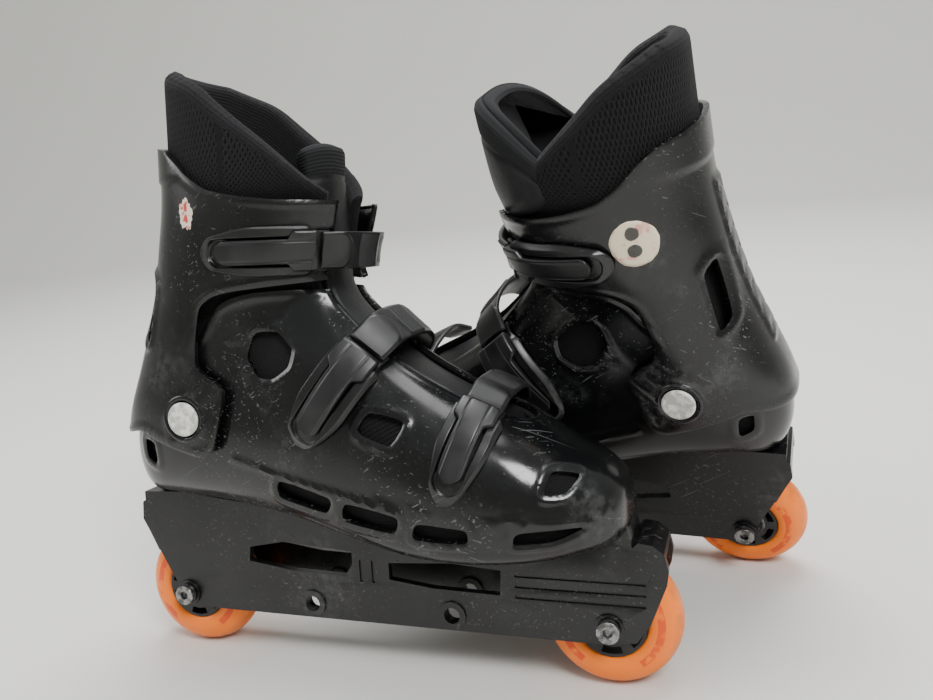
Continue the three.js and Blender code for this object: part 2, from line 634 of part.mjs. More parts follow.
// The lever is drawn about its hinge, which is returned with it.
function leverOf(belt) {
  const width = (degrees) => mix(belt.noseWidth, belt.width, smooth(degrees, belt.tip, mix(belt.tip, belt.hinge, 0.5)));
  const thick = (degrees) => mix(3.2, LEVER_THICK, smooth(degrees, belt.tip, belt.hinge));
  const arm = strip(belt, belt.tip, belt.hinge, LEVER_LIFT, thick, width);
  const sideways = beltWidthways(belt);
  const out = beltOutward(belt, belt.hinge);
  const centre = beltPoint(belt, belt.hinge).addScaledVector(out, LEVER_LIFT + LEVER_THICK / 2);
  const barrelRadius = LEVER_THICK / 2 - 0.5;
  const barrel = new THREE.CylinderGeometry(barrelRadius, barrelRadius, belt.width - 8, 8);
  const turn = new THREE.Matrix4().makeBasis(out.clone().negate(), sideways, sideways.clone().cross(out));
  turn.setPosition(centre);
  return { solid: arm.add(solidOf(barrel.applyMatrix4(turn))), hinge: turn };
}

function strapSolid(belt) {
  const start = belt.hinge + 4.5;
  const arch = belt.body === 'cuff' ? 1.2 : STRAP_ARCH;
  const lift = (degrees) => {
    const share = smooth(degrees, start, start + 14) * (1 - smooth(degrees, belt.strapEnd - 25, belt.strapEnd - 4));
    return STRAP_LIFT + arch * share;
  };
  return strip(belt, start, belt.strapEnd, lift, STRAP_THICK, belt.width - 4, 11);
}

function anchorSolid(belt) {
  return strip(belt, belt.strapEnd - 8, belt.anchor, GAP, BASE_THICK - GAP, belt.width, 3);
}

// ---------------------------------------------------------------- assembly

const MIRROR = new THREE.Matrix4().makeScale(1, -1, 1);

// A named mesh of a skate. matrix places the piece's own frame in the skate.
function piece(skate, name, solid, look, matrix = new THREE.Matrix4()) {
  const geometry = geometryOf(solid).applyMatrix4(matrix.clone().invert());
  const own = matrix.clone();
  if (skate.side === 'right') {
    geometry.applyMatrix4(MIRROR);
    own.premultiply(MIRROR).multiply(MIRROR);
    geometry.index.array.reverse();
  }
  const mesh = new THREE.Mesh(geometry, new THREE.MeshStandardMaterial(FINISHES[look]));
  mesh.name = `${skate.side}_${name}`;
  mesh.applyMatrix4(own);
  return mesh;
}

function wheelPieces(skate, end) {
  const x = FITTED_AXLES[end] * AXLE_SPACING;
  const centre = new THREE.Matrix4().makeTranslation(x, 0, AXLE_Z);
  const at = (solid) => solid.translate([x, 0, AXLE_Z]);
  const bearing = bearingSolid();
  return [
    piece(skate, `${end}_tyre`, at(tyreSolid()), 'tyre', centre),
    piece(skate, `${end}_hub`, at(hubSolid()), 'hub', centre),
    piece(skate, `${end}_bearing_outer`, at(bearing), 'steel', centre),
    piece(skate, `${end}_bearing_inner`, at(bearing.mirror([0, 1, 0])), 'steel', centre),
    piece(skate, `${end}_axle`, at(axleSolid()), 'steel', centre),
  ];
}

function bucklePieces(skate, name) {
  const belt = BELTS[name];
  const lever = leverOf(belt);
  return [
    piece(skate, `${name}_buckle_base`, baseSolid(belt), 'buckle'),
    piece(skate, `${name}_buckle_lever`, lever.solid, 'buckle', lever.hinge),
    piece(skate, `${name}_strap`, strapSolid(belt), 'buckle'),
  ];
}

function skateGroup(skate) {
  const pivot = pivotSolid();
  const group = new THREE.Group();
  group.name = `${skate.side}_skate`;
  group.add(
    piece(skate, 'frame', frameSolid(), 'frame'),
    piece(skate, 'shell', shellSolid(), 'shell'),
    piece(skate, 'cuff', cuffSolid(), 'shell'),
    piece(skate, 'pivot_outer', pivot, 'steel'),
    piece(skate, 'pivot_inner', pivot.mirror([0, 1, 0]), 'steel'),
    piece(skate, 'liner', linerSolid(), 'fabric'),
    piece(skate, 'tongue', tongueSolid(skate.tongue), 'fabric'),
    piece(skate, 'footbed', footbedSolid(), 'footbed'),
    piece(skate, 'rear_frame_bolt', frameBoltSolid(FRAME_BOLTS.rear), 'steel'),
    piece(skate, 'front_frame_bolt', frameBoltSolid(FRAME_BOLTS.front), 'steel'),
    ...Object.keys(FITTED_AXLES).flatMap((end) => wheelPieces(skate, end)),
    ...Object.keys(BELTS).flatMap((name) => bucklePieces(skate, name)),
    piece(skate, 'cuff_strap_anchor', anchorSolid(BELTS.cuff), 'buckle'),
  );
  const crown = TYRE_WIDTH / 2;
  const lean = skate.lean * TURN;
  const outward = skate.side === 'right' ? -1 : 1;
  const axleHeight = (WHEEL_RADIUS - crown) * Math.cos(lean) + crown;
  const stand = new THREE.Matrix4().makeTranslation(skate.x, skate.y, axleHeight)
    .multiply(new THREE.Matrix4().makeRotationZ(skate.heading * TURN))
    .multiply(new THREE.Matrix4().makeRotationX(-outward * lean))
    .multiply(new THREE.Matrix4().makeTranslation(0, 0, -AXLE_Z));
  group.applyMatrix4(stand);
  return group;
}

const pair = new THREE.Group();
pair.add(...SKATES.map(skateGroup));
pair.updateMatrixWorld(true);
const box = new THREE.Box3().setFromObject(pair, true);
pair.position.set(-(box.min.x + box.max.x) / 2, -(box.min.y + box.max.y) / 2, -box.min.z);

export default pair;
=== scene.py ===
"""A pair of hard-shell inline hockey skates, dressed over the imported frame.

Sizes are millimetres in each skate's own frame, as the frame's solids are: x runs forward from
the rear axle, y runs outward and z runs up from the floor. Finished meshes are metres in the
pair's frame.
"""

import json
import logging
import math
from collections.abc import Callable, Sequence
from dataclasses import dataclass, field
from enum import Enum

import bmesh
import bpy
import numpy as np
from mathutils import Matrix, Vector

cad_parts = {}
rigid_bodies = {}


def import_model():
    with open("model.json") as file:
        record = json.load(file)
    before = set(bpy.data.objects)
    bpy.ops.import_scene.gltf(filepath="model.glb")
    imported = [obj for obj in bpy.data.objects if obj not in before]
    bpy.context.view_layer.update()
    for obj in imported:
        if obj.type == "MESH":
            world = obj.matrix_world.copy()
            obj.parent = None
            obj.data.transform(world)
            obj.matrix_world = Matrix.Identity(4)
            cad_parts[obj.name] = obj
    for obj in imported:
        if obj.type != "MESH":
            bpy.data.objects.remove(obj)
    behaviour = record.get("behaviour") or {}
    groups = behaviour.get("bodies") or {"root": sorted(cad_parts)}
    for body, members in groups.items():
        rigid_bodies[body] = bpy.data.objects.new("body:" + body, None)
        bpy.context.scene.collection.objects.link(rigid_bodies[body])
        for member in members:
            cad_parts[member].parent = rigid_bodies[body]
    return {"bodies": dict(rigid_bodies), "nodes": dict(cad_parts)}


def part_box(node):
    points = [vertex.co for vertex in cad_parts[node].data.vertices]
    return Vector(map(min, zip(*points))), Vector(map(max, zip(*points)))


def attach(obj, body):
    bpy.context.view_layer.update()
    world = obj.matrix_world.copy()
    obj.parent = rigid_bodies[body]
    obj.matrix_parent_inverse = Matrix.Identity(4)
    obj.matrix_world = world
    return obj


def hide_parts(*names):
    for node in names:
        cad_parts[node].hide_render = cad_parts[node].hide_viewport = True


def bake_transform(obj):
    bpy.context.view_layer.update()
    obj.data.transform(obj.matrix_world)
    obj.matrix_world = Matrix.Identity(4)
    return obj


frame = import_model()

LOG = logging.getLogger("skates")
MM = 0.001
AXLE_HEIGHT = 34.5
Array = np.ndarray
Outline = Sequence[tuple[float, float]]
Triple = tuple[float, float, float]
Socket = bpy.types.NodeSocket
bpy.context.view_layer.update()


# ---------------------------------------------------------------- small mathematics


def mix(a: float | Array, b: float | Array, share: float | Array) -> float | Array:
    """Returns the value share of the way from a to b."""
    return a + (b - a) * share


def smooth(value: float | Array, low: float, high: float) -> Array:
    """Returns 3t^2 - 2t^3, where t runs from 0 at low to 1 at high."""
    t = np.clip((np.asarray(value, float) - low) / (high - low), 0, 1)
    return t * t * (3 - 2 * t)


def bump(distance: Array, width: float) -> Array:
    """Returns the bell curve exp(-(distance / width)^2)."""
    return np.exp(-((distance / width) ** 2))


def chaikin(outline: Outline, rounds: int = 3, closed: bool = True, cut: float = 0.25) -> Array:
    """Rounds an outline's corners by cutting them: every edge keeps two points, a share of its
    length from each end.

    Args:
        outline: the corners.
        rounds: how many times the corners are cut.
        closed: whether the last point joins the first.
        cut: the share in the first round, less for crisper corners. It is 1/4 in the others.

    Returns:
        The points of the rounded outline.
    """
    points = np.array(outline, float)
    for number in range(rounds):
        share = cut if number == 0 else 0.25
        ahead = np.roll(points, -1, axis=0)
        pairs = np.stack([mix(points, ahead, share), mix(points, ahead, 1 - share)], axis=1)
        pairs = pairs.reshape(-1, 2)
        points = pairs if closed else np.vstack([points[:1], pairs[:-2], points[-1:]])
    return points


def line_distance(x: Array, z: Array, line: Array, closed: bool) -> Array:
    """Returns each point's distance to the nearest segment of a line.

    Args:
        x: the points' first coordinates.
        z: their second coordinates.
        line: the line's points.
        closed: whether the last point joins the first.
    """
    ends = np.roll(line, -1, axis=0) if closed else line[1:]
    starts = line if closed else line[:-1]
    along = ends - starts
    dx = x[..., None] - starts[:, 0]
    dz = z[..., None] - starts[:, 1]
    t = np.clip((dx * along[:, 0] + dz * along[:, 1]) / (along**2).sum(1), 0, 1)
    return np.sqrt(((dx - t * along[:, 0]) ** 2 + (dz - t * along[:, 1]) ** 2).min(-1))


def region_distance(x: Array, z: Array, outline: Array) -> Array:
    """Returns the distance to a closed outline, negative inside it (by the crossing rule)."""
    ends = np.roll(outline, -1, axis=0)
    spans = (outline[:, 1] > z[..., None]) != (ends[:, 1] > z[..., None])
    rise = np.where(ends[:, 1] == outline[:, 1], 1, ends[:, 1] - outline[:, 1])
    meets = outline[:, 0] + (z[..., None] - outline[:, 1]) * (ends[:, 0] - outline[:, 0]) / rise
    inside = (spans & (x[..., None] < meets)).sum(-1) % 2 == 1
    return np.where(inside, -1, 1) * line_distance(x, z, outline, True)


# ---------------------------------------------------------------- where each skate stands


class Side(Enum):
    """Which foot a skate is for."""

    RIGHT = "right"
    LEFT = "left"


@dataclass(frozen=True)
class Stance:
    """How one skate stands, in degrees, and how its tongue is worn.

    The tongue is pulled forward by tongue_pull millimetres, ends at row tongue_top of the form and
    spreads tongue_flare degrees to each side there.
    """

    side: Side
    heading: float
    lean: float
    tongue_pull: float
    tongue_top: float
    tongue_flare: float

    @property
    def name(self) -> str:
        """The skate's prefix in the names of its nodes."""
        return self.side.value

    def axes(self) -> Array:
        """Returns the forward, outward and up directions as rows: the heading turned about z
        after the lean about x."""
        turn, lean = math.radians(self.heading), math.radians(self.lean)
        outward = -1 if self.side is Side.RIGHT else 1
        lean *= -outward
        ahead = np.array([math.cos(turn), math.sin(turn), 0])
        aside = np.array([-math.sin(turn), math.cos(turn), 0])
        upright = np.array([0, 0, 1])
        across = math.cos(lean) * aside + math.sin(lean) * upright
        up = math.cos(lean) * upright - math.sin(lean) * aside
        return np.array([ahead, outward * across, up])

    def centre(self) -> Array:
        """Returns the rear wheel's centre, the middle of its tyre's box, in metres."""
        low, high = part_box(f"{self.name}_rear_tyre")
        return (np.array(low) + np.array(high)) / 2

    def to_row(self, points: Array) -> Array:
        """Returns points of the skate's own frame, in millimetres, as metres in the pair's."""
        shifted = (np.asarray(points, float) - (0, 0, AXLE_HEIGHT)) * MM
        return self.centre() + shifted @ self.axes()


STANCES = (
    Stance(Side.RIGHT, heading=0, lean=-7.69, tongue_pull=-7, tongue_top=17.15, tongue_flare=40),
    Stance(Side.LEFT, heading=174.05, lean=14.99, tongue_pull=9, tongue_top=17.5, tongue_flare=78),
)


# ---------------------------------------------------------------- blueprints and pieces


@dataclass
class Blueprint:
    """A mesh in a skate's own frame, with named values of its points."""

    points: Array
    faces: list[tuple[int, ...]]
    values: dict[str, Array] = field(default_factory=dict)

    def joined(self, other: "Blueprint") -> "Blueprint":
        """Returns this mesh and another as one, without welding them."""
        step = len(self.points)
        faces = self.faces + [tuple(i + step for i in face) for face in other.faces]
        return Blueprint(np.vstack([self.points, other.points]), faces)

    def mirrored(self) -> "Blueprint":
        """Returns this mesh mirrored to the boot's inner side, with its faces reversed."""
        return Blueprint(self.points * (1, -1, 1), [face[::-1] for face in self.faces], self.values)


def grid_faces(rows: int, columns: int, closed: bool) -> Array:
    """Returns the corners of every cell of a grid of points, closed round its columns or not."""
    index = np.arange(rows * columns).reshape(rows, columns)
    ahead = np.roll(index, -1, axis=1)
    cells = np.stack([index[:-1], ahead[:-1], ahead[1:], index[1:]], axis=-1)
    return (cells if closed else cells[:, :-1]).reshape(-1, 4)


def tube(grid: Array, **values: Array) -> Blueprint:
    """Makes a closed skin through rings of points, each end closed by a fan to its middle.

    Args:
        grid: rings by points round by 3.
        values: named values of the grid's points, rings by points round.

    Returns:
        The blueprint.
    """
    rings, around = grid.shape[:2]
    points = np.vstack([grid.reshape(-1, 3), grid[0].mean(0), grid[-1].mean(0)])
    start, end, last = len(points) - 2, len(points) - 1, (rings - 1) * around
    step = np.arange(around)
    ahead = (step + 1) % around
    faces = [tuple(face) for face in grid_faces(rings, around, True)]
    faces += [(start, int(b), int(a)) for a, b in zip(step, ahead)]
    faces += [(end, int(last + a), int(last + b)) for a, b in zip(step, ahead)]
    flat = {name: value.reshape(-1) for name, value in values.items()}
    return Blueprint(points, faces, {k: np.append(v, [v[0], v[-1]]) for k, v in flat.items()})


def rounded_profile(
    across: int, corner: float = 0.1, drop: float = 0.5, beneath: int = 5
) -> tuple[Array, Array]:
    """Makes a rounded rectangle from -1 to 1 each way, with its flat top evenly divided.

    Args:
        across: points on the top.
        corner: the corners' width.
        drop: the corners' height.
        beneath: points on the bottom.

    Returns:
        Its points across and up, counter-clockwise from the top's positive end.
    """
    flat = np.linspace(1 - corner, corner - 1, across)
    turn = np.radians([30, 60, 90])
    side_wide = -(1 - corner) - corner * np.sin(turn)
    side_high = 1 - drop * (1 - np.cos(turn))
    end_wide = np.concatenate([side_wide, side_wide[::-1]])
    end_high = np.concatenate([side_high, -side_high[::-1]])
    bottom = np.linspace(corner - 1, 1 - corner, beneath)
    wide = np.concatenate([flat, end_wide, bottom, -end_wide])
    high = np.concatenate([np.ones(across), end_high, -np.ones(beneath), -end_high])
    return wide, high


def lathe(profile: Array, sides: int, centre: Triple, ring: bool) -> Blueprint:
    """Turns a profile of radius and y about the y axis through a centre.

    Args:
        profile: points of radius and y.
        sides: points round the turn.
        centre: where the axis passes.
        ring: whether the profile closes on itself, or runs from one pole to the other.
    """
    turn = np.arange(sides) * 2 * np.pi / sides
    radius, y = profile[:, 0, None], profile[:, 1, None]
    grid = np.stack([radius * np.cos(turn), y + 0 * turn, radius * np.sin(turn)], -1) + centre
    if not ring:
        return tube(grid)
    faces = grid_faces(len(profile), sides, True)
    last = (len(profile) - 1) * sides
    index = np.arange(sides)
    ahead = (index + 1) % sides
    closing = np.stack([last + index, last + ahead, ahead, index], -1)
    values = {"radius": (radius + 0 * turn).ravel(), "arc": (np.cos(2 * turn) + 0 * radius).ravel()}
    return Blueprint(grid.reshape(-1, 3), [tuple(f) for f in np.vstack([faces, closing])], values)


def dome(centre: Array, out: Array, across: Array, radius: float, height: float) -> Blueprint:
    """Makes a rivet head: a cap whose height falls as 1 - r^4 from its middle, on a short foot.

    Args:
        centre: the middle of its foot.
        out: the direction it stands.
        across: a direction in its plane.
        radius: its radius in millimetres.
        height: its height in millimetres.
    """
    shares = np.array([1.0, 1.0, 0.97, 0.85, 0.6, 0.3])
    heights = np.array([-1.0, 0.3, 0.62, 0.86, 0.97, 1.0]) * height
    turn = np.arange(20) * 2 * np.pi / 20
    second = np.cross(out, across)
    flat = np.cos(turn)[:, None] * across + np.sin(turn)[:, None] * second
    grid = centre + radius * shares[:, None, None] * flat + heights[:, None, None] * out
    return tube(grid)


class Workshop:
    """Turns blueprints into finished pieces of one skate."""

    def __init__(self, stance: Stance) -> None:
        """Keeps the skate's stance."""
        self.stance = stance

    def piece(
        self,
        name: str,
        plan: Blueprint,
        body: str,
        look: bpy.types.Material,
        slot: str,
        replaces: str = "",
        wall: float = 0,
        bevel: float = 0,
    ) -> bpy.types.Object:
        """Builds one piece at the skate's place and says what it rides on and stands for.

        Args:
            name: the piece's name without its side.
            plan: the mesh in the skate's own frame.
            body: the body it rides on, without its side, or "" to leave it unattached.
            look: its material.
            slot: a slot of the record, which is not used.
            replaces: the node it stands for, without its side, or "" for none.
            wall: the thickness that Solidify gives it inward, in millimetres.
            bevel: the width of its rounded edges, in millimetres.

        Returns:
            The object.
        """
        mesh = bpy.data.meshes.new(f"{self.stance.name}_{name}")
        mesh.from_pydata(self.stance.to_row(plan.points), [], plan.faces)
        for key, value in plan.values.items():
            layer = mesh.attributes.new(key, "FLOAT", "POINT")
            layer.data.foreach_set("value", np.asarray(value, np.float32))
        self.face_outward(mesh, plan)
        made = self.stand(mesh, look)
        if wall:
            shell = made.modifiers.new("wall", "SOLIDIFY")
            shell.thickness, shell.offset = wall * MM, -1
        if bevel:
            self.round_edges(made, bevel)
        self.declare(made, body, replaces)
        return made

    @staticmethod
    def stand(mesh: bpy.types.Mesh, look: bpy.types.Material) -> bpy.types.Object:
        """Makes a smooth-shaded object of a mesh, with its material."""
        mesh.polygons.foreach_set("use_smooth", [True] * len(mesh.polygons))
        mesh.materials.clear()
        mesh.materials.append(look)
        made = bpy.data.objects.new(mesh.name, mesh)
        bpy.context.collection.objects.link(made)
        return made

    def declare(self, made: bpy.types.Object, body: str, replaces: str) -> None:
        """Says what a piece rides on and which node it stands for.

        Args:
            made: the piece.
            body: the body it rides on, without its side, or "" to leave it unattached.
            replaces: the node it stands for, without its side, or "" for none.
        """
        side = self.stance.name
        if body:
            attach(made, f"{side}_{body}")
        if replaces:
            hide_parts(f"{side}_{replaces}")
        mesh = made.data
        LOG.info("%s: %d points, %d faces", made.name, len(mesh.vertices), len(mesh.polygons))

    def face_outward(self, mesh: bpy.types.Mesh, plan: Blueprint) -> None:
        """Turns a mesh inside out if its faces look inward.

        Closed meshes have a signed volume, sum of p . n A / 3, that must be positive. The same
        sum for an open one is taken from the boot's middle plane, at the points' mean x and z.

        Args:
            mesh: the mesh, in the pair's frame.
            plan: its blueprint, in the skate's own frame.
        """
        mean = plan.points.mean(axis=0)
        origin = self.stance.to_row(np.array([[mean[0], 0.0, mean[2]]]))[0]
        count = len(mesh.polygons)
        centres, normals, areas = np.empty(3 * count), np.empty(3 * count), np.empty(count)
        mesh.polygons.foreach_get("center", centres)
        mesh.polygons.foreach_get("normal", normals)
        mesh.polygons.foreach_get("area", areas)
        reach = centres.reshape(-1, 3) - origin
        if float(np.sum(np.sum(reach * normals.reshape(-1, 3), axis=1) * areas)) < 0:
            mesh.flip_normals()

    @staticmethod
    def round_edges(made: bpy.types.Object, width: float) -> None:
        """Adds a two-segment bevel to a piece's sharp edges, width millimetres wide."""
        edge = made.modifiers.new("edge", "BEVEL")
        edge.width, edge.segments, edge.limit_method = width * MM, 2, "ANGLE"
        edge.angle_limit = math.radians(38)

    def copy_of(
        self, node: str, name: str, body: str, look: bpy.types.Material, bevel: float
    ) -> bpy.types.Object:
        """Makes a welded, rounded stand-in for a faceted node of the frame.

        Args:
            node: the node, without its side.
            name: the piece's name, without its side.
            body: the body it rides on, without its side.
            look: its material.
            bevel: the width of its rounded edges, in millimetres.

        Returns:
            The object.
        """
        side = self.stance.name
        mesh = frame["nodes"][f"{side}_{node}"].data.copy()
        mesh.name = f"{side}_{name}"
        work = bmesh.new()
        work.from_mesh(mesh)
        bmesh.ops.remove_doubles(work, verts=work.verts, dist=1e-6)
        flat = math.radians(1)
        bmesh.ops.dissolve_limit(work, angle_limit=flat, verts=work.verts, edges=work.edges)
        work.to_mesh(mesh)
        work.free()
        made = self.stand(mesh, look)
        mesh.set_sharp_from_angle(angle=math.radians(35))
        self.round_edges(made, bevel)
        self.declare(made, body, node)
        return made


# ---------------------------------------------------------------- the boot's form


@dataclass(frozen=True)
class BootForm:
    """The smooth form that every layer of a boot follows.

    Its sections run from the toe, round the heel and up the leg. Each row holds the sole or back
    (bx, bz), the toe top, instep or shin (tx, tz), half the width, how boxy the lower half is and
    where it is widest. A Catmull-Rom curve runs through each column.
    """

    rows: tuple[tuple[float, ...], ...] = (
        (252, 91, 252, 98, 6, 2.2, 0.5),
        (249.5, 81, 248.5, 107, 22, 2.6, 0.45),
        (242, 76, 239, 116, 32, 3, 0.42),
        (225, 72.5, 223, 124.5, 42, 3.4, 0.38),
        (202, 69, 199, 139, 49, 3.6, 0.36),
        (172, 67, 170, 153, 51, 3.6, 0.36),
        (142, 68, 144, 169, 49, 3.4, 0.38),
        (110, 74, 125, 187, 45.5, 3.2, 0.4),
        (75, 82, 113, 201, 42.5, 3, 0.43),
        (35, 88, 109.5, 209, 40, 2.8, 0.46),
        (2, 91, 109, 214, 38.5, 2.8, 0.48),
        (-19, 94, 109.5, 218, 37.5, 2.7, 0.48),
        (-27.5, 111, 110, 222, 37.5, 2.6, 0.5),
        (-25, 137, 111, 227, 38, 2.5, 0.5),
        (-13.5, 166, 112.5, 232, 39, 2.4, 0.5),
        (-1, 196, 114, 239, 40.5, 2.4, 0.5),
        (8.5, 230, 116, 251, 42, 2.4, 0.5),
        (14, 264, 118, 272, 43, 2.3, 0.5),
        (18.5, 336, 121, 336, 44, 2.3, 0.5),
    )
    top_square: float = 2.4
    toe_rows: float = 3
    looks: int = 120
    girth: float = 300
    run: float = 640

    def place(self, row: float) -> float:
        """Returns where a row lies along the form, from 0 to 1."""
        return row / (len(self.rows) - 1)

    def curve(self, along: Array) -> Array:
        """Returns every column at places along the form, by uniform Catmull-Rom."""
        table = np.array(self.rows)
        last = len(table) - 1
        spot = np.clip(np.asarray(along, float), 0, 1) * last
        i = np.minimum(spot.astype(int), last - 1)
        t = (spot - i)[..., None]
        p0, p1 = table[np.maximum(i - 1, 0)], table[i]
        p2, p3 = table[i + 1], table[np.minimum(i + 2, last)]
        v0, v1 = (p2 - p0) / 2, (p3 - p1) / 2
        cubic, square = 2 * p1 - 2 * p2 + v0 + v1, 3 * p2 - 3 * p1 - 2 * v0 - v1
        return cubic * t**3 + square * t**2 + v0 * t + p1

    def even_places(self, start: float, end: float, count: int) -> Array:
        """Returns places from start to end that part the form's longer side evenly."""
        fine = np.linspace(start, end, 600)
        row = self.curve(fine)
        steps = [np.linalg.norm(np.diff(row[:, c : c + 2], axis=0), axis=1) for c in (0, 2)]
        length = np.append(0, np.cumsum(np.maximum(*steps) + 0.02))
        return np.interp(np.linspace(0, length[-1], count), length, fine)

    def section(
        self, along: Array, grow: float | Array, under: float | Array | None = None
    ) -> dict[str, Array]:
        """Works out sections of the form.

        Args:
            along: places along the form.
            grow: how far the section is grown outward, in millimetres.
            under: how far its sole or back is grown, grow when left out.

        Returns:
            Their low points, up directions, reach, half widths, belly heights and squareness.
        """
        under = grow if under is None else under
        row = self.curve(along)
        toeward = grow * (1 - smooth(along, 0, self.place(self.toe_rows)))
        ahead = np.stack([toeward, np.zeros_like(toeward)], -1)
        low, high = row[..., 0:2] + ahead, row[..., 2:4] + ahead
        length = np.linalg.norm(high - low, axis=-1)
        up = (high - low) / length[..., None]
        reach = np.maximum(length + grow + under, 1)
        belly = np.clip(row[..., 6] * length + under, reach * 0.2, reach * 0.8)
        low = low - up * np.asarray(under)[..., None]
        half = np.maximum(row[..., 4] + grow, 1)
        square = row[..., 5]
        return {
            "low": low, "up": up, "reach": reach, "half": half, "belly": belly, "square": square,
        }

    def surface(
        self,
        along: Array,
        angle: Array,
        grow: float | Array,
        under: float | Array | None = None,
    ) -> Array:
        """Returns points of the form: each section is a superellipse, boxy below its belly.

        Args:
            along: places along the form, from 0 at the toe to 1 at the top of the leg.
            angle: the angle round the section, 0 at the outer side and pi/2 at the front.
            grow: how far the form is grown, in millimetres.
            under: how far its sole or back is grown.
        """
        cut = self.section(along, grow, under)
        across, rise = np.cos(angle), np.sin(angle)
        power = 2 / np.where(rise < 0, cut["square"], self.top_square)
        span = np.where(rise < 0, cut["belly"], cut["reach"] - cut["belly"])
        height = cut["belly"] + np.sign(rise) * np.abs(rise) ** power * span
        y = cut["half"] * np.sign(across) * np.abs(across) ** power
        spot = cut["low"] + cut["up"] * height[..., None]
        return np.stack([spot[..., 0], y, spot[..., 1]], -1)

    def half_width(self, x: Array, z: Array, grow: float) -> Array:
        """Returns half the form's width at points of its side view, or -1 outside its outline.

        Between two neighbouring sections on whose two sides a point lies, the section through it
        is found by the share of its distance to each.
        """
        x, z = np.asarray(x, float), np.asarray(z, float)
        table = np.linspace(0, 1, self.looks + 1)
        cut = self.section(table, np.full_like(table, grow))
        dx, dz = x[..., None] - cut["low"][:, 0], z[..., None] - cut["low"][:, 1]
        side = dx * cut["up"][:, 1] - dz * cut["up"][:, 0]
        height = dx * cut["up"][:, 0] + dz * cut["up"][:, 1]
        here, there = side[..., :-1], side[..., 1:]
        share = here / np.where(here == there, 1, here - there)
        level = mix(height[..., :-1], height[..., 1:], share)
        reach = mix(cut["reach"][:-1], cut["reach"][1:], share)
        found = (np.sign(here) != np.sign(there)) & (level > 0) & (level < reach)
        first = found.argmax(-1)[..., None]
        share = np.take_along_axis(share, first, -1)[..., 0]
        level = np.take_along_axis(level, first, -1)[..., 0]
        along = (first[..., 0] + share) / self.looks
        exact = self.section(along, np.full_like(along, grow))
        lower = level < exact["belly"]
        belly, reach = exact["belly"], exact["reach"]
        away = np.where(lower, (belly - level) / belly, (level - belly) / (reach - belly))
        power = np.where(lower, exact["square"], self.top_square)
        full = (1 - np.clip(np.abs(away), 0, 1) ** power) ** (1 / power)
        return np.where(found.any(-1), exact["half"] * full, -1)


FORM = BootForm()


@dataclass(frozen=True)
class BootLines:
    """The side-view outlines that cut the boot's layers from the form."""

    shell: Outline = (
        (-90, 20), (300, 20), (300, 190), (130, 200), (98, 206), (54, 204), (40, 186), (24, 170),
        (-90, 160),
    )
    vents: tuple[Outline, ...] = (
        ((69, 185), (82, 185), (91, 176), (89, 167), (80, 161), (71, 162), (64, 172)),
        ((133, 146), (152, 141), (145, 129), (126, 136)),
        ((219, 117), (232, 114), (226, 107), (216, 107)),
        ((-1, 126), (-9, 128), (-9, 117), (-1, 113)),
        ((78, 110), (111, 102), (106, 93), (76, 99)),
        ((117, 101), (148, 96), (145, 87), (114, 90)),
        ((156, 94), (182, 92), (182, 85), (153, 85)),
        ((204, 91), (236, 92), (221, 86), (202, 85)),
    )
    sole_step: Outline = ((52, 119), (75, 113), (111, 105), (151, 97), (185, 93), (205, 97))
    cuff: Outline = (
        (-70, 128), (-24, 130), (-5, 134), (6, 129), (21, 124), (36, 120), (44, 124), (54, 157),
        (37, 167), (39, 182), (44, 199), (52, 204), (61, 206), (87, 208), (140, 211), (140, 247),
        (113, 248), (93, 249), (74, 252), (57, 256), (45, 264), (36, 273), (28, 279), (4, 285),
        (-70, 287),
    )
    cuff_slot: Outline = ((12, 212), (6, 218), (-1, 186), (5, 180))
    collar: Outline = (
        (-70, 323), (20, 323), (34, 316), (50, 309), (66, 295), (90, 276), (105, 260), (122, 246),
        (190, 212), (290, 180), (290, 20), (-70, 20),
    )
    pivot: tuple[float, float] = (27.4, 141.3)


LINES = BootLines()


@dataclass(frozen=True)
class Walls:
    """The thicknesses and gaps of a boot's layers, as its solids have them."""

    gap: float = 0.35
    shell: float = 3.5
    floor_gap: float = 4.5
    slot_half: float = 20
    cuff_gap: float = 2.2
    cuff: float = 3.2
    cuff_front_half: float = 23
    liner: float = 5
    padding: float = 11
    tongue_half: float = 19.2
    tongue: float = 7

    @property
    def cuff_out(self) -> float:
        """How far the cuff's face stands off the form."""
        return self.cuff_gap + self.cuff

    @property
    def liner_out(self) -> float:
        """How far the liner's face stands off the form, inside the shell."""
        return -(self.shell + self.gap)


WALLS = Walls()
Region = Callable[[Array, Array, Array, Array, Array], Array]
Relief = Callable[[Array, Array, Array, Array], Array]


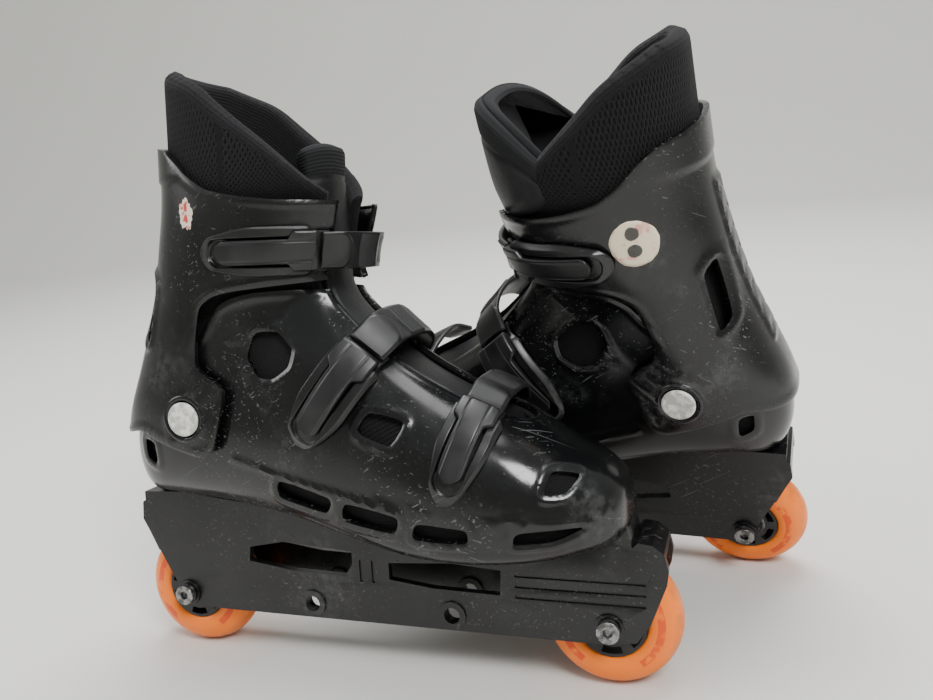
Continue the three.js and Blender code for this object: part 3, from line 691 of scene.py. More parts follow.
@dataclass
class FormSheet:
    """A sheet of the boot's form, cut to a region.

    The sheet is a grid over the place along the form and the angle round it. Cells whose middle is
    outside the region are left out, and the points of the cut edge are moved onto the region's
    border by Newton steps along the distance's slope.
    """

    rows: int
    columns: int
    region: Region
    start: float = 0.0
    end: float = 1.0
    nudge: float = 0.2
    longest_step: float = 0.6

    def outline_space(self, along: Array, angle: Array, grow: float) -> tuple[Array, Array, Array]:
        """Returns the x, y and z of points of the form, in which the region is measured."""
        spot = FORM.surface(along, angle, grow)
        return spot[..., 0], spot[..., 1], spot[..., 2]

    def distance(self, along: Array, angle: Array, grow: float) -> Array:
        """Returns the region's distance, negative inside, at points of the grid."""
        x, y, z = self.outline_space(along, angle, grow)
        return self.region(x, y, z, along, angle)

    def cut(self, grow: float) -> tuple[Array, Array, Array, Array, Array]:
        """Cuts the grid to the region.

        Args:
            grow: how far the form is grown where the region is measured.

        Returns:
            The places and angles of the points, the kept cells, the distance of each point to the
            region's border and whether a point is on that border.
        """
        along, angle = np.meshgrid(
            FORM.even_places(self.start, self.end, self.rows),
            np.arange(self.columns) * 2 * np.pi / self.columns,
            indexing="ij",
        )
        cell = np.array([(self.end - self.start) / (self.rows - 1), 2 * np.pi / self.columns])
        along, angle = along.ravel(), angle.ravel()
        faces = grid_faces(self.rows, self.columns, True)
        middle_along = along[faces].mean(1)
        turns = np.unwrap(angle[faces], axis=1)
        kept = self.distance(middle_along, turns.mean(1), grow) < 0
        used = np.zeros(len(along), bool)
        used[faces[kept]] = True
        dropped = np.zeros(len(along), bool)
        dropped[faces[~kept]] = True
        edge = np.flatnonzero(used & dropped)
        step = self.nudge * cell
        for _ in range(4):
            here = self.distance(along[edge], angle[edge], grow)
            ahead = self.distance(along[edge] + step[0], angle[edge], grow)
            beside = self.distance(along[edge], angle[edge] + step[1], grow)
            slopes = (ahead - here) / self.nudge, (beside - here) / self.nudge
            size = np.maximum(slopes[0] ** 2 + slopes[1] ** 2, 0.05)
            for grid, slope, width in zip((along, angle), slopes, cell):
                move = np.clip(here * slope / size, -self.longest_step, self.longest_step)
                grid[edge] -= move * width
        along = np.clip(along, self.start, self.end)
        border = np.zeros(len(along), bool)
        border[edge] = True
        return along, angle, faces[kept], -self.distance(along, angle, grow), border

    @staticmethod
    def packed(points: Array, faces: list[tuple[int, ...]], values: dict[str, Array]) -> Blueprint:
        """Returns a blueprint without the points that no face uses."""
        used = np.unique(np.concatenate([np.array(face) for face in faces]))
        order = np.full(len(points), -1)
        order[used] = np.arange(len(used))
        kept = [tuple(int(order[i]) for i in face) for face in faces]
        return Blueprint(points[used], kept, {name: value[used] for name, value in values.items()})

    def closed_toe(self, faces: Array) -> list[tuple[int, ...]]:
        """Returns the cells as faces, with the first row's points drawn together into its first."""
        if self.start > 0:
            return [tuple(face) for face in faces]
        drawn = np.where(faces < self.columns, 0, faces)
        return [tuple(dict.fromkeys(face)) for face in drawn if len(set(face)) > 2]

    def skin(
        self, grow: float, relief: Relief | None = None, under: float | None = None
    ) -> Blueprint:
        """Makes the sheet's outer face; Solidify gives it its wall.

        Args:
            grow: how far the face stands off the form.
            relief: how much farther it stands off at (x, y, z) and a distance from the edge.
            under: how far its sole or back stands off.
        """
        along, angle, faces, inside, _ = self.cut(grow)
        extra = np.zeros_like(along)
        if relief is not None:
            extra = relief(*self.outline_space(along, angle, grow), inside)
        base = grow if under is None else under
        points = FORM.surface(along, angle, grow + extra, base + extra)
        if self.start <= 0:
            points[0] = points[: self.columns].mean(0) + (1.5, 0, 0)
        return self.packed(points, self.closed_toe(faces), {})

    def pad(
        self, outer: Array, inner: Array, under_outer: Array, under_inner: Array, roll: float
    ) -> Blueprint:
        """Makes a padded layer with a rolled rim.

        Both faces stand apart by the padding times sqrt(1 - (1 - d / roll)^2), where d is the
        distance to the rim, so they meet in a half round.

        Args:
            outer: how far the outer face stands off the form, for each place along it.
            inner: the same for the inner face.
            under_outer: the outer face's sole and back.
            under_inner: the inner face's sole and back.
            roll: the distance over which the rim rounds off.
        """
        along, angle, faces, inside, border = self.cut(0)
        table = np.linspace(0, 1, len(outer))
        out, into, low_out, low_in = (
            np.interp(along, table, offset) for offset in (outer, inner, under_outer, under_inner)
        )
        deep = np.clip(inside / roll, 0, 1)
        full = np.where(border, 0, np.sqrt(np.maximum(1 - (1 - deep) ** 2, 0.0)))
        middle, low_middle = (out + into) / 2, (low_out + low_in) / 2
        outer_face, inner_face = (
            FORM.surface(along, angle, mix(middle, face, full), mix(low_middle, low, full))
            for face, low in ((out, low_out), (into, low_in))
        )
        count = len(along)
        second = np.where(border, np.arange(count), np.arange(count) + count)
        turned = [tuple(face) for face in second[faces][:, ::-1]]
        all_faces = [tuple(face) for face in faces] + turned
        rim = np.concatenate([inside, inside])
        around = np.concatenate([angle, angle]) / (2 * np.pi) * FORM.girth
        up = np.concatenate([along, along]) * FORM.run
        within = np.concatenate([np.zeros(count), np.where(border, 0.0, 1.0)])
        values = {"edge": rim, "around": around, "upward": up, "within": within}
        return self.packed(np.vstack([outer_face, inner_face]), all_faces, values)


# ---------------------------------------------------------------- belts


@dataclass(frozen=True)
class Belt:
    """A buckle's way round the form, in a plane that holds the across direction and rise.

    Its angle is 0 at the outer side, 90 on the instep and 180 at the inner side. The lever's tip
    and hinge, the strap's end and the anchor are such angles. The strap stands arch millimetres
    higher where it bridges the opening.
    """

    name: str
    centre: tuple[float, float]
    rise: tuple[float, float]
    grow: float
    width: float
    nose_width: float
    tip: float
    hinge: float
    strap_end: float
    anchor: float
    arch: float
    body: str

    @property
    def widthways(self) -> Array:
        """The direction across the belt's width."""
        size = math.hypot(*self.rise)
        return np.array([-self.rise[1] / size, 0, self.rise[0] / size])

    def points(self, degrees: Array, aside: Array) -> Array:
        """Returns points of the form at angles of the belt and distances aside of its middle, by
        halving the reach from the belt's centre until it meets the form."""
        across, rise = np.cos(np.radians(degrees)), np.sin(np.radians(degrees))
        side = self.widthways
        x, z = self.centre[0] + side[0] * aside, self.centre[1] + side[2] * aside
        near, far = np.full(np.shape(degrees), 5.0), np.full(np.shape(degrees), 130.0)
        for _ in range(20):
            reach = (near + far) / 2
            ahead, above = x + side[2] * rise * reach, z - side[0] * rise * reach
            half = FORM.half_width(ahead, above, self.grow)
            inner = np.abs(across * reach) < half
            near, far = np.where(inner, reach, near), np.where(inner, far, reach)
        return np.stack([x + side[2] * rise * near, across * near, z - side[0] * rise * near], -1)

    def outward(self, degrees: Array) -> Array:
        """Returns the direction out of the form: across the width, crossed with the way ahead."""
        zero = np.zeros_like(degrees)
        ahead = self.points(degrees + 2, zero) - self.points(degrees - 2, zero)
        out = np.cross(self.widthways, ahead)
        return out / np.linalg.norm(out, axis=-1, keepdims=True)

    def strip(
        self,
        degrees: Array,
        low: Array,
        thick: Array,
        half: Array,
        across: int = 13,
        ridges: Callable[[Array, Array], Array] | None = None,
    ) -> Blueprint:
        """Carries a rounded-rectangle profile along the belt.

        Args:
            degrees: the angles of its rings.
            low: the height of its underside at each ring.
            thick: its thickness at each ring.
            half: half its width at each ring.
            across: points across the flat of its top.
            ridges: extra height of the top at (degrees, distance aside).
        """
        wide, high = rounded_profile(across)
        aside = half[:, None] * wide
        height = low[:, None] + thick[:, None] * (1 + high) / 2
        if ridges is not None:
            height = height + np.where(high == 1, ridges(degrees[:, None] + 0 * wide, aside), 0)
        table = np.linspace(-1, 1, 7)
        reach = np.abs(aside).max() + 0.01
        sampled = self.points(degrees[:, None] + 0 * table, reach * table + 0 * degrees[:, None])
        spot = (aside / reach + 1) / 2 * (len(table) - 1)
        first = np.clip(spot.astype(int), 0, len(table) - 2)
        share = (spot - first)[..., None]
        rows = np.arange(len(degrees))[:, None]
        ground = mix(sampled[rows, first], sampled[rows, first + 1], share)
        out = self.outward(degrees)[:, None, :]
        return tube(ground + out * height[..., None])


BELTS = (
    Belt(
        "cuff", centre=(62, 225), rise=(1, -0.03), grow=WALLS.cuff_out, width=20, nose_width=15,
        tip=-8, hinge=52, strap_end=131, anchor=137, arch=1.2, body="cuff_body",
    ),
    Belt(
        "instep", centre=(100, 137), rise=(0.61, 0.79), grow=0, width=23, nose_width=15,
        tip=-8, hinge=52, strap_end=146, anchor=152, arch=3.5, body="skate",
    ),
    Belt(
        "toe", centre=(172, 108), rise=(0.35, 0.94), grow=0, width=21, nose_width=14,
        tip=0, hinge=50, strap_end=140, anchor=146, arch=3.5, body="skate",
    ),
)


# ---------------------------------------------------------------- finishes


class Graph:
    """A material's nodes, with short ways to add the ones the finishes share."""

    def __init__(self, name: str) -> None:
        """Starts a material with a Principled shader."""
        self.material = bpy.data.materials.new(name)
        self.material.use_nodes = True
        self.tree = self.material.node_tree
        self.tree.nodes.clear()
        self.shader = self.add("ShaderNodeBsdfPrincipled")
        output = self.add("ShaderNodeOutputMaterial")
        self.link(self.shader.outputs[0], output.inputs["Surface"])
        self.place = self.add("ShaderNodeTexCoord").outputs["Object"]

    def add(self, kind: str, **settings: object) -> bpy.types.Node:
        """Adds a node and sets its properties."""
        node = self.tree.nodes.new(kind)
        for name, value in settings.items():
            setattr(node, name, value)
        return node

    def link(self, source: Socket, target: Socket) -> None:
        """Joins two sockets."""
        self.tree.links.new(source, target)

    def value(self, name: str) -> Socket:
        """Returns a mesh attribute's value."""
        return self.add("ShaderNodeAttribute", attribute_name=name).outputs["Fac"]

    def noise(
        self,
        scale: float,
        detail: float = 4,
        stretch: Triple = (1, 1, 1),
        turn: Triple = (0, 0, 0),
    ) -> Socket:
        """Returns noise on Object coordinates, scale features a metre, turned by radians."""
        turned = self.add("ShaderNodeVectorRotate", rotation_type="EULER_XYZ")
        turned.inputs["Rotation"].default_value = turn
        mapping = self.add("ShaderNodeMapping")
        mapping.inputs["Scale"].default_value = stretch
        self.link(self.place, turned.inputs["Vector"])
        self.link(turned.outputs[0], mapping.inputs["Vector"])
        noise = self.add("ShaderNodeTexNoise")
        noise.inputs["Scale"].default_value = scale
        noise.inputs["Detail"].default_value = detail
        self.link(mapping.outputs[0], noise.inputs["Vector"])
        return noise.outputs["Fac"]

    def ramp(
        self, source: Socket, low: float, high: float, out: tuple[float, float] = (0, 1)
    ) -> Socket:
        """Returns a value mapped smoothly from low..high to out."""
        span = self.add("ShaderNodeMapRange", interpolation_type="SMOOTHSTEP")
        for socket, number in zip(("From Min", "From Max", "To Min", "To Max"), (low, high, *out)):
            span.inputs[socket].default_value = number
        self.link(source, span.inputs["Value"])
        return span.outputs["Result"]

    def math(self, operation: str, a: Socket, b: Socket | float = 0.0) -> Socket:
        """Returns a sum, product or other operation on one or two values."""
        node = self.add("ShaderNodeMath", operation=operation)
        self.link(a, node.inputs[0])
        if isinstance(b, (int, float)):
            node.inputs[1].default_value = b
        else:
            self.link(b, node.inputs[1])
        return node.outputs[0]

    def largest(self, first: Socket, *others: Socket) -> Socket:
        """Returns the largest of several values."""
        for other in others:
            first = self.math("MAXIMUM", first, other)
        return first

    def choose(self, share: Socket, low: Socket, high: Socket) -> Socket:
        """Returns low where the share is 0 and high where it is 1."""
        node = self.add("ShaderNodeMix", data_type="FLOAT")
        self.link(share, node.inputs["Factor"])
        self.link(low, node.inputs[2])
        self.link(high, node.inputs[3])
        return node.outputs[0]

    def blend(self, share: Socket, low: Triple | Socket, high: Triple | Socket) -> Socket:
        """Returns a colour between two, by a share."""
        node = self.add("ShaderNodeMix", data_type="RGBA")
        self.link(share, node.inputs["Factor"])
        for socket, colour in ((node.inputs[6], low), (node.inputs[7], high)):
            if isinstance(colour, tuple):
                socket.default_value = (*colour, 1)
            else:
                self.link(colour, socket)
        return node.outputs[2]

    def colour(self, source: Socket) -> None:
        """Feeds the base colour."""
        self.link(source, self.shader.inputs["Base Color"])

    def rough(self, source: Socket) -> None:
        """Feeds the roughness."""
        self.link(source, self.shader.inputs["Roughness"])

    def relief(self, source: Socket, depth_mm: float, strength: float = 1.0) -> None:
        """Feeds a height, depth_mm deep, into the normal."""
        node = self.add("ShaderNodeBump")
        node.inputs["Strength"].default_value = strength
        node.inputs["Distance"].default_value = depth_mm * MM
        self.link(source, node.inputs["Height"])
        self.link(node.outputs[0], self.shader.inputs["Normal"])


@dataclass(frozen=True)
class ScuffedPlastic:
    """Moulded plastic with hair scratches and rubbed patches."""

    name: str
    colour: Triple
    rub: Triple
    gloss: float
    rub_from: float = 0.56

    def material(self) -> bpy.types.Material:
        """Builds it: thin streaks of stretched noise, and rubs where broad noise is high."""
        g = Graph(self.name)
        streaks = [
            g.ramp(g.noise(scale, 1, stretch, turn), 0.7, 0.76)
            for scale, stretch, turn in (
                (26, (0.3, 26, 26), (0.2, 0.5, 0.3)),
                (22, (0.35, 30, 30), (0.4, -0.35, -0.5)),
                (24, (0.3, 28, 28), (-0.3, 1.1, 0.8)),
                (20, (0.4, 34, 34), (0.5, 0.1, -0.9)),
            )
        ]
        scratches = g.largest(*streaks)
        where = g.ramp(g.noise(16, 3), 0.42, 0.62, (0.06, 1.0))
        rubbed = g.ramp(g.noise(20, 6), self.rub_from, self.rub_from + 0.2)
        grain = g.ramp(g.noise(240, 5), 0.3, 0.75)
        hazy = g.math("MULTIPLY", g.math("MULTIPLY", rubbed, grain), 0.3)
        marks = g.math("MULTIPLY", g.math("MULTIPLY", scratches, where), 0.5)
        amount = g.math("ADD", hazy, marks)
        g.colour(g.blend(amount, self.colour, self.rub))
        broad = g.ramp(g.noise(30, 4), 0.3, 0.75, (self.gloss, self.gloss + 0.16))
        g.rough(g.math("ADD", broad, g.math("MULTIPLY", amount, 0.35)))
        swell = g.math("MULTIPLY", g.noise(60, 3), 0.5)
        g.relief(g.math("SUBTRACT", swell, g.math("MULTIPLY", scratches, 0.2)), 0.14, 0.6)
        return g.material


@dataclass(frozen=True)
class GrainedPlastic:
    """Matt nylon with a fine spark-eroded grain and paler dusty patches and streaks."""

    name: str
    colour: Triple
    pale: Triple
    roughness: float
    grain_mm: float = 0.05

    def material(self) -> bpy.types.Material:
        """Builds it: fine noise for the grain, broad noise for handling marks."""
        g = Graph(self.name)
        dust = g.ramp(g.noise(35, 6), 0.5, 0.72)
        streak = g.ramp(g.noise(120, 3, (0.5, 6, 4)), 0.66, 0.76)
        worn = g.math("MULTIPLY", g.largest(dust, streak), 0.5)
        g.colour(g.blend(worn, self.colour, self.pale))
        g.rough(g.ramp(g.noise(60, 3), 0.3, 0.7, (self.roughness - 0.07, self.roughness + 0.1)))
        g.relief(g.noise(1600, 2), self.grain_mm, 0.6)
        return g.material


@dataclass(frozen=True)
class Tread:
    """Cast polyurethane: bright, a little cloudy, with road dirt on the running band."""

    name: str = "orange_urethane"
    colour: Triple = (1.0, 0.2, 0.0)
    band: Triple = (0.72, 0.035, 0.0)
    dirt: Triple = (0.5, 0.13, 0.03)

    def material(self) -> bpy.types.Material:
        """Builds it: the printed band from the radius, broken round the turn, and the dirt."""
        g = Graph(self.name)
        radius = g.value("radius")
        ring = g.math("MULTIPLY", g.ramp(radius, 22.4, 22.9), g.ramp(radius, 26.6, 26.1))
        shown = g.math("MULTIPLY", ring, g.ramp(g.value("arc"), -0.35, -0.3))
        worn = g.ramp(g.noise(160, 4), 0.36, 0.5)
        shown = g.math("MULTIPLY", shown, g.math("MULTIPLY", worn, 0.8))
        running = g.math("MULTIPLY", g.ramp(radius, 29.5, 33.5), g.ramp(g.noise(90, 6), 0.38, 0.62))
        printed = g.blend(shown, self.colour, self.band)
        g.colour(g.blend(g.math("MULTIPLY", running, 0.5), printed, self.dirt))
        g.rough(g.ramp(g.noise(70, 4), 0.3, 0.7, (0.32, 0.55)))
        g.relief(g.noise(700, 3), 0.06, 0.5)
        return g.material


@dataclass(frozen=True)
class WornSteel:
    """Zinc-plated steel with rubbed-off paint or dull patches."""

    name: str
    colour: Triple
    dull: Triple
    roughness: float
    metallic: float

    def material(self) -> bpy.types.Material:
        """Builds it: two noises part the bright metal from the dull."""
        g = Graph(self.name)
        patches = g.ramp(g.noise(260, 6), 0.42, 0.6)
        g.colour(g.blend(patches, self.colour, self.dull))
        g.rough(g.ramp(g.noise(500, 3), 0.3, 0.7, (self.roughness, self.roughness + 0.25)))
        g.relief(g.noise(600, 4), 0.12, 0.6)
        g.shader.inputs["Metallic"].default_value = self.metallic
        return g.material


@dataclass(frozen=True)
class PaddedCloth:
    """The liner's cloth: eyelet mesh outside, ribbed knit on its rim and plain lining inside.

    The rim's width, its ribs' pitch and the holes are in millimetres.
    """

    name: str
    colour: Triple = (0.003, 0.003, 0.0034)
    # raised: the paler colour of the fibres, also painted on the threads as light between the shaded
    # holes
    raised: Triple = (0.014, 0.014, 0.0155)
    hole_mm: tuple[float, float] = (2.1, 3.0)
    rim_mm: float = 7
    rib_mm: float = 1.7

    def material(self) -> bpy.types.Material:
        """Builds it: staggered round-ended holes |sin| x |sin| on the cloth's own lengths, darkened
        by painted shade; ribs along the rim where the edge is near."""
        g = Graph(self.name)
        around, upward, edge, within = (g.value(n) for n in ("around", "upward", "edge", "within"))
        a = g.math("MULTIPLY", around, math.pi / self.hole_mm[0])
        b = g.math("MULTIPLY", upward, math.pi / self.hole_mm[1])
        even = g.math("MULTIPLY", g.math("SINE", a), g.math("SINE", b))
        odd = g.math("MULTIPLY", g.math("COSINE", a), g.math("COSINE", b))
        deep = g.largest(g.math("ABSOLUTE", even), g.math("ABSOLUTE", odd))
        holes = g.ramp(deep, 0.62, 0.86)
        ribs = g.math("SINE", g.math("MULTIPLY", edge, 2 * math.pi / self.rib_mm))
        rim = g.largest(g.ramp(edge, self.rim_mm + 0.6, self.rim_mm - 0.6), within)
        fibres = g.noise(1400, 3)
        mesh_height = g.math("SUBTRACT", g.math("MULTIPLY", fibres, 0.3), holes)
        rim_height = g.math("ADD", g.math("MULTIPLY", ribs, 0.1), g.math("MULTIPLY", fibres, 0.4))
        g.relief(g.choose(rim, mesh_height, rim_height), 0.9, 0.9)
        # painted shade: the holes are coloured darker than the threads between them, as if in shadow
        painted_hole_shade = g.ramp(holes, 0, 1, (0.75, 0.0))
        shade = g.choose(rim, painted_hole_shade, g.ramp(fibres, 0.3, 0.7, (0.35, 0.9)))
        g.colour(g.blend(shade, self.colour, self.raised))
        g.shader.inputs["Roughness"].default_value = 0.92
        g.shader.inputs["Specular IOR Level"].default_value = 0.15
        g.shader.inputs["Sheen Weight"].default_value = 0.03
        g.shader.inputs["Sheen Roughness"].default_value = 0.5
        return g.material


@dataclass(frozen=True)
class TongueCloth:
    """The tongue's smooth coated front and ribbed knit top."""

    name: str = "tongue_cloth"
    colour: Triple = (0.006, 0.0062, 0.007)
    # raised: the paler colour of handling marks, also painted on the knit's rib crests as light
    raised: Triple = (0.018, 0.0185, 0.02)
    knit_mm: tuple[float, float] = (14.0, 17.0)
    rib_mm: float = 1.8

    def material(self) -> bpy.types.Material:
        """Builds it: ribs along the height of the knit band, with painted shade in their grooves,
        fine leather noise below.
        """
        g = Graph(self.name)
        rise, front = g.value("rise"), g.value("front")
        knit = g.ramp(rise, self.knit_mm[1], self.knit_mm[0])
        ribs = g.math("SINE", g.math("MULTIPLY", rise, 2 * math.pi / self.rib_mm))
        fibres = g.math("MULTIPLY", g.noise(1200, 3), 0.4)
        knit_height = g.math("ADD", g.math("MULTIPLY", ribs, 0.16), fibres)
        plain_height = g.math("MULTIPLY", g.noise(300, 5), 0.35)
        g.relief(g.choose(knit, plain_height, knit_height), 0.7, 0.8)
        handled = g.ramp(g.noise(40, 4), 0.35, 0.7, (0.1, 0.7))
        # painted shade: the knit's colour follows its ribs, darker in the grooves and paler on the
        # crests
        share = g.choose(knit, handled, g.ramp(ribs, -1, 1, (0.25, 0.6)))
        g.shader.inputs["Specular IOR Level"].default_value = 0.25
        g.colour(g.blend(share, self.colour, self.raised))
        coated = g.math("MULTIPLY", front, g.ramp(rise, *self.knit_mm))
        g.rough(g.ramp(coated, 0, 1, (0.92, 0.5)))
        return g.material


@dataclass(frozen=True)
class Sticker:
    """A worn sticker of plain colours: a base, a blotchy tint and two round blots.

    The blots' middles are shares of the sticker's radii.
    """

    name: str
    base: Triple
    tint: Triple
    blot: Triple
    scale: float
    blots: tuple[tuple[float, float], tuple[float, float]] = ((0.05, 0.45), (0.0, -0.3))

    def material(self) -> bpy.types.Material:
        """Builds it: the blots where (u - a)^2 + (v - b)^2 is small, with a wavering edge."""
        g = Graph(self.name)
        tinted = g.ramp(g.noise(self.scale, 3), 0.52, 0.66)
        u, v = g.value("u"), g.value("v")
        first, second = (
            g.math("ADD", *(g.math("POWER", g.math("ADD", x, -c), 2.0) for x, c in ((u, a), (v, b))))
            for a, b in self.blots
        )
        wobble = g.math("MULTIPLY", g.noise(260, 3), 0.06)
        blotted = g.ramp(g.math("ADD", g.math("MINIMUM", first, second), wobble), 0.13, 0.1)
        g.colour(g.blend(blotted, g.blend(tinted, self.base, self.tint), self.blot))
        g.rough(g.ramp(g.noise(300, 3), 0.3, 0.7, (0.45, 0.7)))
        g.relief(g.noise(500, 4), 0.1, 0.5)
        return g.material


class Finishes:
    """Every finish of the pair, built once."""

    def __init__(self) -> None:
        """Builds the materials: name, main colour, second colour, then roughness and more."""
        scuffed, grained, steel = (
            [kind(*sizes).material() for sizes in rows]
            for kind, rows in (
                (ScuffedPlastic, (
                    ("black_shell_plastic", (0.0035, 0.0037, 0.0042), (0.17, 0.18, 0.175), 0.13),
                    ("black_cuff_plastic", (0.0038, 0.004, 0.0045), (0.16, 0.165, 0.16), 0.16, 0.52),
                    ("black_frame_nylon", (0.0035, 0.0036, 0.004), (0.12, 0.12, 0.12), 0.24, 0.55),
                    ("black_buckle_nylon", (0.006, 0.006, 0.0065), (0.11, 0.11, 0.11), 0.26, 0.5),
                )),
                (GrainedPlastic, (
                    ("grey_buckle_nylon", (0.007, 0.0072, 0.008), (0.035, 0.035, 0.037), 0.36),
                    ("grey_strap_nylon", (0.008, 0.0082, 0.009), (0.032, 0.032, 0.034), 0.38),
                    ("black_hub_nylon", (0.01, 0.01, 0.011), (0.05, 0.045, 0.04), 0.42),
                    ("insole_felt", (0.012, 0.012, 0.013), (0.03, 0.03, 0.03), 0.9, 0.3),
                )),
                (WornSteel, (
                    ("bolt_steel", (0.33, 0.33, 0.33), (0.12, 0.115, 0.11), 0.3, 1),
                    ("bearing_seal", (0.2, 0.2, 0.2), (0.06, 0.055, 0.05), 0.4, 0.8),
                    ("pivot_rivet", (0.82, 0.81, 0.76), (0.5, 0.5, 0.47), 0.4, 0.2),
                )),
            )
        )
        self.shell, self.cuff, self.frame, self.base = scuffed
        self.buckle, self.strap, self.hub, self.footbed = grained
        self.steel, self.seal, self.rivet = steel
        self.tyre = Tread().material()
        self.liner = PaddedCloth("liner_cloth").material()
        self.tongue = TongueCloth().material()
        self.round_sticker = Sticker(
            "round_sticker", (0.78, 0.68, 0.5), (0.72, 0.36, 0.3), (0.06, 0.055, 0.05), 190
        ).material()
        self.small_sticker = Sticker(
            "small_sticker", (0.75, 0.66, 0.55), (0.62, 0.03, 0.025), (0.6, 0.05, 0.04), 330
        ).material()


FINISHES = Finishes()


# ---------------------------------------------------------------- the boot


